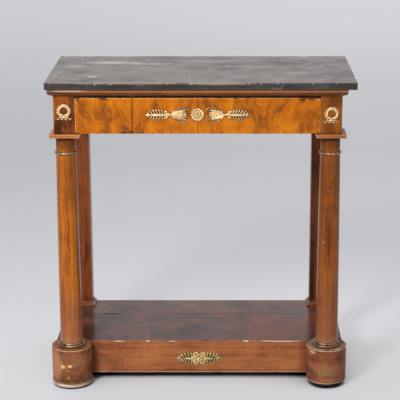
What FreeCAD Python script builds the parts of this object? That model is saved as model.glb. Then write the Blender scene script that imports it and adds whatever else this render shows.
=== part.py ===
import FreeCAD, Part
import os
from math import cos, radians, sin

# Pier table: a marble slab on a frieze with one drawer, carried by two turned columns
# in front and two square pilasters behind, all standing on a low box platform.
# Millimetres. +X is to the right as seen from the front, +Y runs back to the wall and
# +Z is up. The origin is on the floor, under the middle of the frieze.

# Whole table
table_width = 820.0
table_depth = 416.0
table_height = 858.0
glue_line = 0.1  # room left round dowels, tenons and scribed ends
cutting_room = 1.0  # what a cutting shape stands out past the piece it cuts

# Marble
marble_thickness = 19.0
marble_setback = 5.0  # of its face behind the line of the drums
marble_side_overhang = 29.0
marble_back_overhang = 1.0
marble_corner_radius = 3.0
marble_arris_radius = 1.6
marble_shift = 8.5  # the slab lies loose and has slid this far to the right

# Frieze
frieze_height = 122.0
block_size = 55.5
side_rail_thickness = 22.0
back_rail_thickness = 20.0
tenon_thickness = 10.0
tenon_length = 12.0
tenon_shoulder = 18.0  # what a tenon stands back from the edge of its rail

# Cornice under the marble
cornice_height = 19.8
cornice_projection = 14.5
cornice_fillet = 7.5
cornice_quirk = 2.0
cornice_turn = 55.0  # angle of the quarter round at which its middle is taken

# Columns
axis_setback = 53.2  # of the column axes behind the line of the drums
column_top_radius = 26.6
column_middle_radius = 29.5
column_foot_radius = 30.5
neck_step = 0.4  # what the necking is smaller than the shaft's head
neck_height = 41.0
head_tenon_radius = 12.0
head_tenon_length = 30.0
foot_tenon_radius = 15.0
foot_tenon_length = 45.0
abacus_size = 79.6
abacus_thickness = 10.0
abacus_fillet = 8.2
abacus_quirk = 0.5
abacus_slope = 1.6
neck_ring_height = 8.2
neck_ring_reach = 3.9
base_ring_height = 12.6
base_ring_reach = 7.2
base_torus_height = 7.0
base_bead_reach = 3.8
ring_lip = 1.0

# Drums and feet
drum_radius = 55.3
drum_arris_radius = 2.5
foot_disc_reach = 1.0  # past the drum
foot_disc_height = 10.1
foot_disc_rounding = 4.0
foot_pad_inset = 16.3  # within the disc
foot_pad_height = 4.6
drum_dowel_radius = 6.0
drum_dowel_length = 60.0

# Pilasters
pilaster_width = 58.0
pilaster_depth = 47.0
pilaster_tenon_width = 28.0
pilaster_tenon_depth = 20.0
pilaster_tenon_length = 54.0
pilaster_base_height = 13.0
pilaster_base_reach = 9.0
pilaster_base_fillet = 5.0
pilaster_base_lip = 1.2
pilaster_base_hollow = 0.3  # share of its slope at which the hollow is deepest

# Platform
platform_height = 94.6
platform_floor_gap = 19.8
platform_inset = 10.75  # its ends stand this far within the drums
platform_setback = 23.5  # its face stands this far behind the column axes
platform_board = 20.0
shelf_board_thickness = 14.0
shelf_joint_gap = 0.8
rear_shelf_board_width = 121.0
veneer = 1.2
inner_block_length = 52.0
inner_block_lift = 10.0
glue_block_leg = 26.0
glue_block_length = 70.0
glue_block_rows = 3
rear_foot_size = 58.0

# Drawer and what it runs on
drawer_side_gap = 1.5
drawer_foot_gap = 0.8
drawer_head_gap = 5.4
running_gap = 0.3
drawer_front_thickness = 20.0
drawer_side_thickness = 12.0
drawer_side_drop = 6.2  # below the head of the front
drawer_back_thickness = 11.0
drawer_back_room = 12.55  # left in front of the pilasters
drawer_bottom_thickness = 7.0
drawer_bottom_lift = 9.0
drawer_groove = 5.0
lap_thickness = 6.0  # wood left in front of the dovetails
front_tail_count = 3
back_tail_count = 2
tail_width = 15.0
tail_flare = 3.0
rail_thickness = 20.0
lower_rail_depth = 55.0
top_rail_thickness = 18.0
top_rail_depth = 60.0
rail_tail_length = 24.0
rail_tail_neck = 28.0
rail_tail_flare = 5.0
runner_width = 26.0
guide_height = 20.0
kicker_gap = 3.0
stop_size = 28.0
stop_height = 6.0
stop_spacing = 430.0
veneer_leaf_width = 173.0

# Gilt mounts
mount_thickness = 2.6
wreath_radius = 14.4
wreath_band = 4.6
wreath_leaves = 7  # places on each side
wreath_leaf_length = 9.5
wreath_leaf_width = 4.4
wreath_leaf_splay = 26.0
wreath_first_leaf = -75.0  # degrees from level, on the right-hand side
wreath_last_leaf = 80.0
wreath_height_left = 62.3  # its middle above the lower edge of the frieze
wreath_height_right = 54.3
knot_radius = 4.0
ribbon_radius = 2.7
ribbon_width = 2.0
ribbon_drop = 20.8
ribbon_curl = 115.0  # degrees from level at which its last wave ends
rosette_radius = 18.4
rosette_petals = 14
boss_radius = 5.5
boss_thickness = 3.8
drawer_mount_rise = 3.2  # above the middle of the drawer front
mount_spacing = 2.6
bead_radius = 1.9
bead_spread = 14.8
bow_width = 1.5
bow_crown = 20.4
bow_crown_place = 19.0
bow_length = 41.0
bow_end_spread = 6.5
lotus_length = 45.0
lotus_leaves = 7
lotus_leaf_width = 7.0
lotus_spread = 13.0  # degrees to each side
knop_radius = 4.6
curl_length = 10.0
curl_width = 4.0
neck_length = 9.0
neck_width = 4.0
plume_length = 63.5
plume_width = 29.0
plume_pairs = 6
wing_length = 52.0
wing_width = 34.0
wing_pairs = 7
stem_width = 7.0
leaf_angle_root = 68.0
leaf_angle_tip = 34.0
leaf_first_place = 0.08  # shares of a plume's length at which its leaves spring
leaf_last_place = 0.7
leaf_taper = 0.45  # share of the width that the last pair lacks
leaf_fullness = 0.55  # a leaf's width as a share of a plume's length over its pairs
lobe_radius = 8.8
lobe_spread_x = 9.0
lobe_spread_z = 11.0
platform_mount_drop = 5.6  # below the middle of the platform

# Places that follow from the sizes above
front = -table_depth / 2
frame_back = table_depth / 2 - marble_back_overhang
frame_half = table_width / 2 - marble_side_overhang
frame_top = table_height - marble_thickness
frieze_bottom = frame_top - frieze_height
axis_x = frame_half - block_size / 2
axis_y = front + axis_setback
neck_radius = column_top_radius - neck_step
foot_disc_radius = drum_radius + foot_disc_reach
foot_pad_radius = foot_disc_radius - foot_pad_inset
block_inner = frame_half - block_size
block_front = axis_y - block_size / 2
block_back = axis_y + block_size / 2
side_rail_inner = frame_half - side_rail_thickness
back_rail_front = frame_back - back_rail_thickness
cornice_bottom = frame_top - cornice_height
abacus_bottom = frieze_bottom - abacus_thickness
abacus_edge = frieze_bottom - abacus_fillet
neck_ring_foot = abacus_bottom - neck_height - neck_ring_height
platform_top = platform_floor_gap + platform_height
platform_half = axis_x + drum_radius - platform_inset
platform_front = axis_y + platform_setback
board_front = platform_front + veneer
board_back = board_front + platform_board
board_half = platform_half - platform_board
back_board_front = frame_back - platform_board
shelf_bottom = platform_top - shelf_board_thickness
shelf_joint = frame_back - rear_shelf_board_width
drum_foot = foot_pad_height + foot_disc_height
pilaster_inner = frame_half - pilaster_width
pilaster_middle = frame_half - pilaster_width / 2
pilaster_front = frame_back - pilaster_depth
drawer_half = block_inner - drawer_side_gap
drawer_inner_half = drawer_half - drawer_side_thickness
drawer_foot = frieze_bottom + drawer_foot_gap
drawer_head = cornice_bottom - drawer_head_gap
drawer_inner_face = block_front + drawer_front_thickness
rail_front = drawer_inner_face + running_gap
rail_back = rail_front + lower_rail_depth
runner_top = frieze_bottom + rail_thickness
runner_inner = block_inner - runner_width
side_foot = runner_top + running_gap
side_head = drawer_head - drawer_side_drop
drawer_back_face = pilaster_front - drawer_back_room
drawer_back_front = drawer_back_face - drawer_back_thickness
bottom_foot = side_foot + drawer_bottom_lift
bottom_head = bottom_foot + drawer_bottom_thickness


# Helpers

def at(x, y, z):
    return FreeCAD.Vector(x, y, z)


def box(x, y, z):
    # each argument is a (low, high) pair
    return Part.makeBox(x[1] - x[0], y[1] - y[0], z[1] - z[0], at(x[0], y[0], z[0]))


def around(middle, size):
    return (middle - size / 2, middle + size / 2)


def prism(corners, sweep):
    wire = Part.makePolygon(corners + corners[:1])
    return Part.Face(wire).extrude(sweep)


def rod(radius, start, end):
    run = end - start
    return Part.makeCylinder(radius, run.Length, start, run)


def upright(radius, foot, head):
    # cylinder on the axis of the right-hand column
    return rod(radius, at(axis_x, axis_y, foot), at(axis_x, axis_y, head))


def joined(shapes):
    return shapes[0].multiFuse(shapes[1:]).removeSplitter()


def on_left(shape):
    # the same piece for the other end of the table
    return shape.mirror(at(0, 0, 0), at(1, 0, 0))


def both_ends(shape):
    return Part.makeCompound([shape, on_left(shape)])


def arc(start, middle, end):
    return Part.Arc(start, middle, end).toShape()


def line(start, end):
    return Part.LineSegment(start, end).toShape()


def turned(edges):
    # a profile in the XZ plane, turned and set on the axis of the right-hand column
    solid = Part.Face(Part.Wire(edges)).revolve(at(0, 0, 0), at(0, 0, 1), 360)
    solid.translate(at(axis_x, axis_y, 0))
    return solid


def beside_drums(shape):
    # scribed round both drums and bored for their dowels
    space = joined([upright(drum_radius + glue_line, 0, table_height), drum_dowel(glue_line)])
    return shape.cut(space).cut(on_left(space))


# Marble and cornice

def marble_top():
    slab = box(around(marble_shift, table_width), (front + marble_setback, table_depth / 2),
               (frame_top, table_height))
    corners = [e for e in slab.Edges if e.BoundBox.ZLength > marble_thickness / 2]
    slab = slab.makeFillet(marble_corner_radius, corners)
    arris = [e for e in slab.Edges if e.BoundBox.ZMin > table_height - marble_arris_radius]
    return slab.makeFillet(marble_arris_radius, arris)


def cornice_profile():
    # closed profile in the YZ plane, its back on Y = 0 and its face towards -Y
    crown = frame_top - cornice_fillet
    foot = cornice_bottom + cornice_quirk
    turn = radians(cornice_turn)
    bulge = at(0, -cornice_projection * sin(turn), foot + (crown - foot) * (1 - cos(turn)))
    edges = [
        line(at(0, 0, cornice_bottom), at(0, 0, frame_top)),
        line(at(0, 0, frame_top), at(0, -cornice_projection, frame_top)),
        line(at(0, -cornice_projection, frame_top), at(0, -cornice_projection, crown)),
        arc(at(0, -cornice_projection, crown), bulge, at(0, -cornice_quirk, foot)),
        line(at(0, -cornice_quirk, foot), at(0, -cornice_quirk, cornice_bottom)),
        line(at(0, -cornice_quirk, cornice_bottom), at(0, 0, cornice_bottom)),
    ]
    return Part.Face(Part.Wire(edges))


def mitre():
    # the wedge outside the right-hand front corner that belongs to the side moulding
    reach = cornice_projection + cutting_room
    corner = at(frame_half, block_front, cornice_bottom)
    ahead = corner + at(reach, -reach, 0)
    beside = corner + at(reach, 0, 0)
    return prism([corner, ahead, beside], at(0, 0, cornice_height))


def cornice_front():
    half = frame_half + cornice_projection
    moulding = cornice_profile().extrude(at(2 * half, 0, 0))
    moulding.translate(at(-half, block_front, 0))
    return moulding.cut(mitre()).cut(on_left(mitre()))


def cornice_side():
    length = frame_back - block_front + cornice_projection
    moulding = cornice_profile().extrude(at(length, 0, 0))
    moulding.rotate(at(0, 0, 0), at(0, 0, 1), 90)
    moulding.translate(at(frame_half, frame_back - length, 0))
    behind = box((frame_half, frame_half + cornice_projection), (block_front, frame_back),
                 (cornice_bottom, frame_top))
    return moulding.common(joined([behind, mitre()]))


# Frieze frame

def top_rail_tail():
    # dovetail on the right-hand end of the top rail, let down into the block
    neck = rail_tail_neck / 2
    wide = neck + rail_tail_flare
    tip = block_inner + rail_tail_length
    foot = frame_top - top_rail_thickness
    corners = [at(block_inner, axis_y - neck, foot), at(tip, axis_y - wide, foot),
               at(tip, axis_y + wide, foot), at(block_inner, axis_y + neck, foot)]
    return prism(corners, at(0, 0, top_rail_thickness))


def side_rail_tenon(y):
    x = around(frame_half - side_rail_thickness / 2, tenon_thickness)
    z = (frieze_bottom + tenon_shoulder, cornice_bottom - tenon_shoulder)
    return box(x, y, z)


def front_tenon():
    return side_rail_tenon((block_back - tenon_length, block_back))


def rear_tenon():
    return side_rail_tenon((pilaster_front, pilaster_front + tenon_length))


def lower_rail_tenon():
    y = around((rail_front + block_back) / 2, tenon_shoulder)
    z = around(frieze_bottom + rail_thickness / 2, tenon_thickness)
    return box((block_inner, block_inner + tenon_length), y, z)


def back_rail_tenon():
    y = around(frame_back - back_rail_thickness / 2, tenon_thickness)
    z = (frieze_bottom + tenon_shoulder, frame_top - tenon_shoulder)
    return box((pilaster_inner, pilaster_inner + tenon_length), y, z)


def block_space():
    return box((block_inner, frame_half), (block_front, block_back), (frieze_bottom, frame_top))


def front_block():
    block = block_space()
    socket = upright(head_tenon_radius + glue_line, frieze_bottom,
                     frieze_bottom + head_tenon_length + glue_line)
    for cut in [socket, top_rail_tail(), lower_rail_tenon(), front_tenon()]:
        block = block.cut(cut)
    return block


def top_rail():
    rail = box((-block_inner, block_inner), (block_front, block_front + top_rail_depth),
               (frame_top - top_rail_thickness, frame_top))
    return joined([rail, top_rail_tail(), on_left(top_rail_tail())])


def lower_rail():
    rail = box((-block_inner, block_inner), (rail_front, rail_back),
               (frieze_bottom, runner_top))
    return joined([rail, lower_rail_tenon(), on_left(lower_rail_tenon())])


def back_rail():
    rail = box((-pilaster_inner, pilaster_inner), (back_rail_front, frame_back),
               (frieze_bottom, frame_top))
    return joined([rail, back_rail_tenon(), on_left(back_rail_tenon())])


def side_rail():
    rail = box((side_rail_inner, frame_half), (block_back, pilaster_front),
               (frieze_bottom, frame_top))
    return joined([rail, front_tenon(), rear_tenon()])


# What the drawer runs on

def pilaster_shaft():
    return box((pilaster_inner, frame_half), (pilaster_front, frame_back),
               (platform_top, frame_top))


def drawer_runner():
    strip = box((runner_inner, side_rail_inner), (rail_back, back_rail_front),
                (frieze_bottom, runner_top))
    return strip.cut(pilaster_shaft())


def drawer_guide():
    return box((block_inner, side_rail_inner), (rail_back, pilaster_front),
               (runner_top, runner_top + guide_height))


def drawer_kicker():
    strip = box((runner_inner, side_rail_inner),
                (block_front + top_rail_depth, back_rail_front),
                (side_head + kicker_gap, frame_top))
    return strip.cut(block_space()).cut(pilaster_shaft())


def drawer_stop():
    return box(around(stop_spacing / 2, stop_size), (rail_front, rail_front + stop_size),
               (runner_top, runner_top + stop_height))


# Columns

def square_wire(reach, height):
    corners = [at(axis_x - reach, axis_y - reach, height),
               at(axis_x + reach, axis_y - reach, height),
               at(axis_x + reach, axis_y + reach, height),
               at(axis_x - reach, axis_y + reach, height)]
    return Part.makePolygon(corners + corners[:1])


def abacus():
    # square plate with a sloping underside, threaded by the column's tenon
    slope_reach = abacus_size / 2 - abacus_quirk
    plate = box(around(axis_x, abacus_size), around(axis_y, abacus_size),
                (abacus_edge, frieze_bottom))
    slope = Part.makeLoft([square_wire(slope_reach, abacus_edge),
                           square_wire(slope_reach - abacus_slope, abacus_bottom)], True, True)
    hole = upright(head_tenon_radius + glue_line, abacus_bottom, frieze_bottom)
    return joined([plate, slope]).cut(hole)


def column():
    # lower tenon, tapering shaft, necking and upper tenon, all turned from one piece
    tenon_foot = platform_top - foot_tenon_length
    tenon_head = frieze_bottom + head_tenon_length
    shaft_middle = (platform_top + neck_ring_foot) / 2
    edges = [
        line(at(0, 0, tenon_foot), at(foot_tenon_radius, 0, tenon_foot)),
        line(at(foot_tenon_radius, 0, tenon_foot), at(foot_tenon_radius, 0, platform_top)),
        line(at(foot_tenon_radius, 0, platform_top), at(column_foot_radius, 0, platform_top)),
        arc(at(column_foot_radius, 0, platform_top), at(column_middle_radius, 0, shaft_middle),
            at(column_top_radius, 0, neck_ring_foot)),
        line(at(column_top_radius, 0, neck_ring_foot), at(neck_radius, 0, neck_ring_foot)),
        line(at(neck_radius, 0, neck_ring_foot), at(neck_radius, 0, abacus_bottom)),
        line(at(neck_radius, 0, abacus_bottom), at(head_tenon_radius, 0, abacus_bottom)),
        line(at(head_tenon_radius, 0, abacus_bottom), at(head_tenon_radius, 0, tenon_head)),
        line(at(head_tenon_radius, 0, tenon_head), at(0, 0, tenon_head)),
        line(at(0, 0, tenon_head), at(0, 0, tenon_foot)),
    ]
    return turned(edges)


def neck_ring():
    # half-round ring that drops over the necking and rests on the shaft
    inner = neck_radius + glue_line
    outer = neck_radius + neck_ring_reach
    head = neck_ring_foot + neck_ring_height
    middle = (neck_ring_foot + head) / 2
    lip = inner + ring_lip
    edges = [
        line(at(inner, 0, neck_ring_foot), at(lip, 0, neck_ring_foot)),
        arc(at(lip, 0, neck_ring_foot), at(outer, 0, middle), at(lip, 0, head)),
        line(at(lip, 0, head), at(inner, 0, head)),
        line(at(inner, 0, head), at(inner, 0, neck_ring_foot)),
    ]
    return turned(edges)


def base_ring():
    # torus on the platform with a narrow bead above it, close round the shaft
    inner = column_foot_radius + glue_line
    outer = column_foot_radius + base_ring_reach
    torus_head = platform_top + base_torus_height
    head = platform_top + base_ring_height
    seat = outer - base_torus_height / 2
    bead = column_foot_radius + base_bead_reach
    lip = inner + ring_lip
    edges = [
        line(at(inner, 0, platform_top), at(seat, 0, platform_top)),
        arc(at(seat, 0, platform_top), at(outer, 0, (platform_top + torus_head) / 2),
            at(seat, 0, torus_head)),
        line(at(seat, 0, torus_head), at(lip, 0, torus_head)),
        arc(at(lip, 0, torus_head), at(bead, 0, (torus_head + head) / 2), at(lip, 0, head)),
        line(at(lip, 0, head), at(inner, 0, head)),
        line(at(inner, 0, head), at(inner, 0, platform_top)),
    ]
    return turned(edges)


# Drums and feet

def drum_dowel(room):
    # level dowel from the back of the drum into the block behind it
    length = drum_dowel_length + 2 * room
    height = (platform_floor_gap + shelf_bottom) / 2
    start = at(axis_x, axis_y + drum_radius - length / 2, height)
    return rod(drum_dowel_radius + room, start, start + at(0, length, 0))


def drum():
    body = upright(drum_radius, drum_foot, platform_top)
    rims = [e for e in body.Edges if e.BoundBox.ZLength < drum_arris_radius]
    body = body.makeFillet(drum_arris_radius, rims)
    socket = upright(foot_tenon_radius + glue_line,
                     platform_top - foot_tenon_length - glue_line, platform_top)
    return body.cut(socket).cut(drum_dowel(glue_line))


def foot_disc():
    disc = upright(foot_disc_radius, foot_pad_height, drum_foot)
    rim = [e for e in disc.Edges if e.BoundBox.ZMax < foot_pad_height + foot_disc_rounding]
    return disc.makeFillet(foot_disc_rounding, rim)


def foot_pad():
    return upright(foot_pad_radius, 0, foot_pad_height)


# Pilasters

def pilaster_tenon(room):
    middle_y = (pilaster_front + back_rail_front) / 2
    return box(around(pilaster_middle, pilaster_tenon_width + 2 * room),
               around(middle_y, pilaster_tenon_depth + 2 * room),
               (platform_top - pilaster_tenon_length - room, platform_top))


def pilaster():
    post = joined([pilaster_shaft(), pilaster_tenon(0)])
    return post.cut(rear_tenon()).cut(back_rail_tenon())


def collar(section, reach):
    # moulding round the front and both sides of a pilaster, mitred at the corners
    side = section.extrude(at(pilaster_depth + reach, 0, 0))
    side.rotate(at(0, 0, 0), at(0, 0, 1), 90)
    side.translate(at(frame_half, pilaster_front - reach, 0))
    other_side = side.mirror(at(pilaster_middle, 0, 0), at(1, 0, 0))
    face = section.extrude(at(pilaster_width + 2 * reach, 0, 0))
    face.translate(at(pilaster_inner - reach, pilaster_front, 0))
    apex = at(pilaster_middle, pilaster_front + pilaster_width / 2, section.BoundBox.ZMin)
    spread = pilaster_width / 2 + reach + cutting_room
    corners = [apex, apex + at(-spread, -spread, 0), apex + at(spread, -spread, 0)]
    wedge = prism(corners, at(0, 0, section.BoundBox.ZLength))
    return Part.makeCompound([face.common(wedge), side.cut(wedge), other_side.cut(wedge)])


def pilaster_base():
    reach = pilaster_base_reach
    slope_foot = platform_top + pilaster_base_fillet
    head = platform_top + pilaster_base_height
    hollow = at(0, -pilaster_base_lip - (reach - pilaster_base_lip) * pilaster_base_hollow,
                slope_foot + (head - slope_foot) * pilaster_base_hollow)
    edges = [
        line(at(0, 0, platform_top), at(0, -reach, platform_top)),
        line(at(0, -reach, platform_top), at(0, -reach, slope_foot)),
        arc(at(0, -reach, slope_foot), hollow, at(0, -pilaster_base_lip, head)),
        line(at(0, -pilaster_base_lip, head), at(0, 0, head)),
        line(at(0, 0, head), at(0, 0, platform_top)),
    ]
    return collar(Part.Face(Part.Wire(edges)), reach)


def pilaster_cap():
    # carries the line of the column's square plate round the pilaster
    reach = (abacus_size - block_size) / 2
    slope_head = reach - abacus_quirk
    corners = [at(0, 0, frieze_bottom), at(0, -reach, frieze_bottom),
               at(0, -reach, abacus_edge), at(0, -slope_head, abacus_edge),
               at(0, abacus_slope - slope_head, abacus_bottom), at(0, 0, abacus_bottom)]
    return collar(Part.Face(Part.makePolygon(corners + corners[:1])), reach)


# Platform

def platform_veneer():
    sheet = box((-platform_half, platform_half), (platform_front, board_front),
                (platform_floor_gap, platform_top))
    return beside_drums(sheet)


def platform_front_board():
    board = box((-board_half, board_half), (board_front, board_back),
                (platform_floor_gap, shelf_bottom))
    return beside_drums(board)


def platform_side():
    board = box((board_half, platform_half), (board_front, back_board_front),
                (platform_floor_gap, shelf_bottom))
    return beside_drums(board)


def platform_back_board():
    return box((-platform_half, platform_half), (back_board_front, frame_back),
               (platform_floor_gap, shelf_bottom))


def shelf_board_front():
    board = box((-platform_half, platform_half), (board_front, shelf_joint - shelf_joint_gap),
                (shelf_bottom, platform_top))
    return beside_drums(board)


def shelf_board_rear():
    board = box((-platform_half, platform_half), (shelf_joint, frame_back),
                (shelf_bottom, platform_top))
    mortise = pilaster_tenon(glue_line)
    return board.cut(mortise).cut(on_left(mortise))


def front_inner_block():
    block = box((board_half - inner_block_length, board_half),
                (board_back, axis_y + drum_radius + inner_block_length),
                (platform_floor_gap + inner_block_lift, shelf_bottom))
    return beside_drums(block)


def rear_inner_block():
    block = box((pilaster_inner, board_half),
                (back_board_front - inner_block_length, back_board_front),
                (platform_floor_gap + inner_block_lift, shelf_bottom))
    return block.cut(pilaster_tenon(glue_line))


def glue_block_pair(middle):
    # three-cornered blocks rubbed in under the shelf, one at the front and one behind
    pair = []
    for face, inward in ((board_back, glue_block_leg), (back_board_front, -glue_block_leg)):
        corner = at(middle - glue_block_length / 2, face, shelf_bottom)
        corners = [corner, corner + at(0, inward, 0), corner + at(0, 0, -glue_block_leg)]
        pair.append(prism(corners, at(glue_block_length, 0, 0)))
    return pair


def platform_blocks():
    blocks = []
    for block in (front_inner_block(), rear_inner_block()):
        blocks += [block, on_left(block)]
    room = 2 * (pilaster_inner - inner_block_length)
    for row in range(glue_block_rows):
        blocks += glue_block_pair(room * ((row + 0.5) / glue_block_rows - 0.5))
    return Part.makeCompound(blocks)


def rear_foot():
    return box((platform_half - rear_foot_size, platform_half),
               (frame_back - rear_foot_size, frame_back), (0, platform_floor_gap))


# Drawer

def tails(root, tip, foot, count):
    # the row of dovetails at one end of a drawer side, widest at the tip
    pitch = (side_head - foot) / count
    narrow = (tail_width - tail_flare) / 2
    wide = (tail_width + tail_flare) / 2
    row = []
    for number in range(count):
        middle = foot + pitch * (number + 0.5)
        corners = [at(drawer_inner_half, root, middle - narrow),
                   at(drawer_inner_half, tip, middle - wide),
                   at(drawer_inner_half, tip, middle + wide),
                   at(drawer_inner_half, root, middle + narrow)]
        row.append(prism(corners, at(drawer_side_thickness, 0, 0)))
    return row


def front_tails():
    return tails(drawer_inner_face, block_front + lap_thickness, side_foot, front_tail_count)


def back_tails():
    return tails(drawer_back_front, drawer_back_face, bottom_head, back_tail_count)


def drawer_bottom():
    # slid in from behind, under the back and into grooves in the front and sides
    half = drawer_inner_half + drawer_groove
    return box((-half, half), (drawer_inner_face - drawer_groove, drawer_back_face),
               (bottom_foot, bottom_head))


def drawer_front():
    board = box((-drawer_half, drawer_half), (block_front + veneer, drawer_inner_face),
                (drawer_foot, drawer_head))
    for tail in front_tails():
        board = board.cut(tail).cut(on_left(tail))
    return board.cut(drawer_bottom())


def drawer_side():
    board = box((drawer_inner_half, drawer_half), (drawer_inner_face, drawer_back_front),
                (side_foot, side_head))
    heel = box((drawer_inner_half, drawer_half), (drawer_back_front, drawer_back_face),
               (side_foot, bottom_head))
    return joined([board, heel] + front_tails() + back_tails()).cut(drawer_bottom())


def drawer_back():
    board = box((-drawer_half, drawer_half), (drawer_back_front, drawer_back_face),
                (bottom_head, side_head))
    for tail in back_tails():
        board = board.cut(tail).cut(on_left(tail))
    return board


def drawer_veneer():
    # figured leaves, matched about the middle of the front
    seams = [-veneer_leaf_width, 0, veneer_leaf_width]
    spans = zip([-drawer_half] + seams, seams + [drawer_half])
    leaves = [box(span, (block_front, block_front + veneer), (drawer_foot, drawer_head))
              for span in spans]
    return Part.makeCompound(leaves)


# Gilt mounts, drawn in the XZ plane with their backs on Y = 0

def raised(edges):
    return Part.Face(Part.Wire(edges)).extrude(at(0, -mount_thickness, 0))


def polar(x, z, radius, angle):
    return at(x + radius * cos(radians(angle)), 0, z + radius * sin(radians(angle)))


def disc(x, z, radius, thickness):
    return rod(radius, at(x, 0, z), at(x, -thickness, z))


def leaf(x, z, angle, length, width):
    # pointed leaf growing from (x, z) at an angle from +X
    root = at(x, 0, z)
    tip = polar(x, z, length, angle)
    middle = (root + tip) * 0.5
    side = polar(0, 0, width / 2, angle + 90)
    return raised([arc(root, middle + side, tip), arc(tip, middle - side, root)])


def bow(start, middle, end, width):
    # flat strip of even width, bent through three points
    centre = arc(start, middle, end).Curve.Center
    half = [(p - centre).normalize() * (width / 2) for p in (start, middle, end)]
    outer = [start + half[0], middle + half[1], end + half[2]]
    inner = [start - half[0], middle - half[1], end - half[2]]
    return raised([arc(*outer), line(outer[2], inner[2]),
                   arc(inner[2], inner[1], inner[0]), line(inner[0], outer[0])])


def mirrored_pair(shape):
    # a shape and its reflection across the mount's own level centre line
    return [shape, shape.mirror(at(0, 0, 0), at(0, 0, 1))]


def plume(start, length, width, pairs):
    # stem along +X with pairs of leaves that shorten towards the tip
    pieces = [leaf(start, 0, 0, length, stem_width)]
    for number in range(pairs):
        share = number / (pairs - 1)
        place = leaf_first_place + (leaf_last_place - leaf_first_place) * share
        root = start + length * place
        angle = leaf_angle_root + (leaf_angle_tip - leaf_angle_root) * share
        reach = width / 2 * (1 - leaf_taper * share * share) / sin(radians(angle))
        pieces += mirrored_pair(leaf(root, 0, angle, reach, length / pairs * leaf_fullness))
    return pieces


def ribbon():
    # one half of the bow-knot: a loop, then a wave of half circles out to the right, each
    # given as its middle in steps from the knot and its first and last angle
    step = ribbon_radius
    turns = [(2, 0, 180), (2, 180, 360), (4, 0, 180), (6, 180, 360), (8, ribbon_curl, 180)]
    pieces = []
    for place, start, end in turns:
        points = [polar(place * step, -ribbon_drop, step, angle)
                  for angle in (start, (start + end) / 2, end)]
        pieces.append(bow(*points, ribbon_width))
    return pieces


def wreath(side, height):
    ring = disc(0, 0, wreath_radius + wreath_band / 2, mount_thickness)
    ring = ring.cut(disc(0, 0, wreath_radius - wreath_band / 2, mount_thickness))
    half = ribbon()
    climb = (wreath_last_leaf - wreath_first_leaf) / (wreath_leaves - 1)
    for number in range(wreath_leaves):
        angle = wreath_first_leaf + climb * number
        root = polar(0, 0, wreath_radius, angle)
        for splay in (-wreath_leaf_splay, wreath_leaf_splay):
            half.append(leaf(root.x, root.z, angle + 90 + splay, wreath_leaf_length,
                             wreath_leaf_width))
    knot = disc(0, -(wreath_radius + ribbon_drop) / 2, knot_radius, mount_thickness)
    mount = joined([ring, knot] + half + [on_left(piece) for piece in half])
    mount.translate(at(side * axis_x, block_front, frieze_bottom + height))
    return mount


def set_on_drawer(mount):
    middle = (drawer_foot + drawer_head) / 2
    mount.translate(at(0, block_front, middle + drawer_mount_rise))
    return mount


def drawer_rosette():
    petal = rosette_radius * sin(radians(180 / rosette_petals))
    pieces = [disc(0, 0, rosette_radius - petal, mount_thickness),
              disc(0, 0, boss_radius, boss_thickness)]
    for number in range(rosette_petals):
        middle = polar(0, 0, rosette_radius - petal, 360 * number / rosette_petals)
        pieces.append(disc(middle.x, middle.z, petal, mount_thickness))
    return set_on_drawer(joined(pieces))


def palmette():
    # beads and bows next to the rosette, then a lotus bud, a knop, a neck and a plume
    start = rosette_radius + mount_spacing + bead_radius
    knop = start + bead_radius + lotus_length
    pieces = [disc(knop, 0, knop_radius, mount_thickness)]
    for number in range(lotus_leaves):
        angle = 180 + lotus_spread * (2 * number / (lotus_leaves - 1) - 1)
        pieces.append(leaf(knop, 0, angle, lotus_length, lotus_leaf_width))
    strip = bow(at(start, 0, bead_spread), at(start + bow_crown_place, 0, bow_crown),
                at(start + bow_length, 0, bow_end_spread), bow_width)
    pieces += mirrored_pair(disc(start, bead_spread, bead_radius, mount_thickness))
    pieces += mirrored_pair(strip)
    pieces += mirrored_pair(leaf(knop, 0, leaf_angle_root, curl_length, curl_width))
    pieces.append(box((knop, knop + neck_length + stem_width), (-mount_thickness, 0),
                      around(0, neck_width)))
    pieces += plume(knop + neck_length, plume_length, plume_width, plume_pairs)
    return set_on_drawer(joined(pieces))


def platform_mount():
    wing = plume(lobe_spread_x + lobe_radius / 2, wing_length, wing_width, wing_pairs)
    pieces = wing + [on_left(piece) for piece in wing]
    pieces.append(disc(0, 0, boss_radius, boss_thickness))
    for x in (-lobe_spread_x, lobe_spread_x):
        pieces += mirrored_pair(disc(x, lobe_spread_z, lobe_radius, mount_thickness))
    mount = joined(pieces)
    middle = (platform_floor_gap + platform_top) / 2
    mount.translate(at(0, platform_front, middle - platform_mount_drop))
    return mount


# Every piece by name; those in the first list come once for each end of the table

paired = {
    "cornice": cornice_side(),
    "front_block": front_block(),
    "side_rail": side_rail(),
    "drawer_runner": drawer_runner(),
    "drawer_kicker": drawer_kicker(),
    "abacus": abacus(),
    "column": column(),
    "neck_ring": neck_ring(),
    "base_ring": base_ring(),
    "drum": drum(),
    "foot_disc": foot_disc(),
    "pilaster": pilaster(),
    "pilaster_base": pilaster_base(),
    "pilaster_cap": pilaster_cap(),
    "platform_side": platform_side(),
    "rear_foot": rear_foot(),
    "drawer_side": drawer_side(),
    "palmette": palmette(),
}

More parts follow.
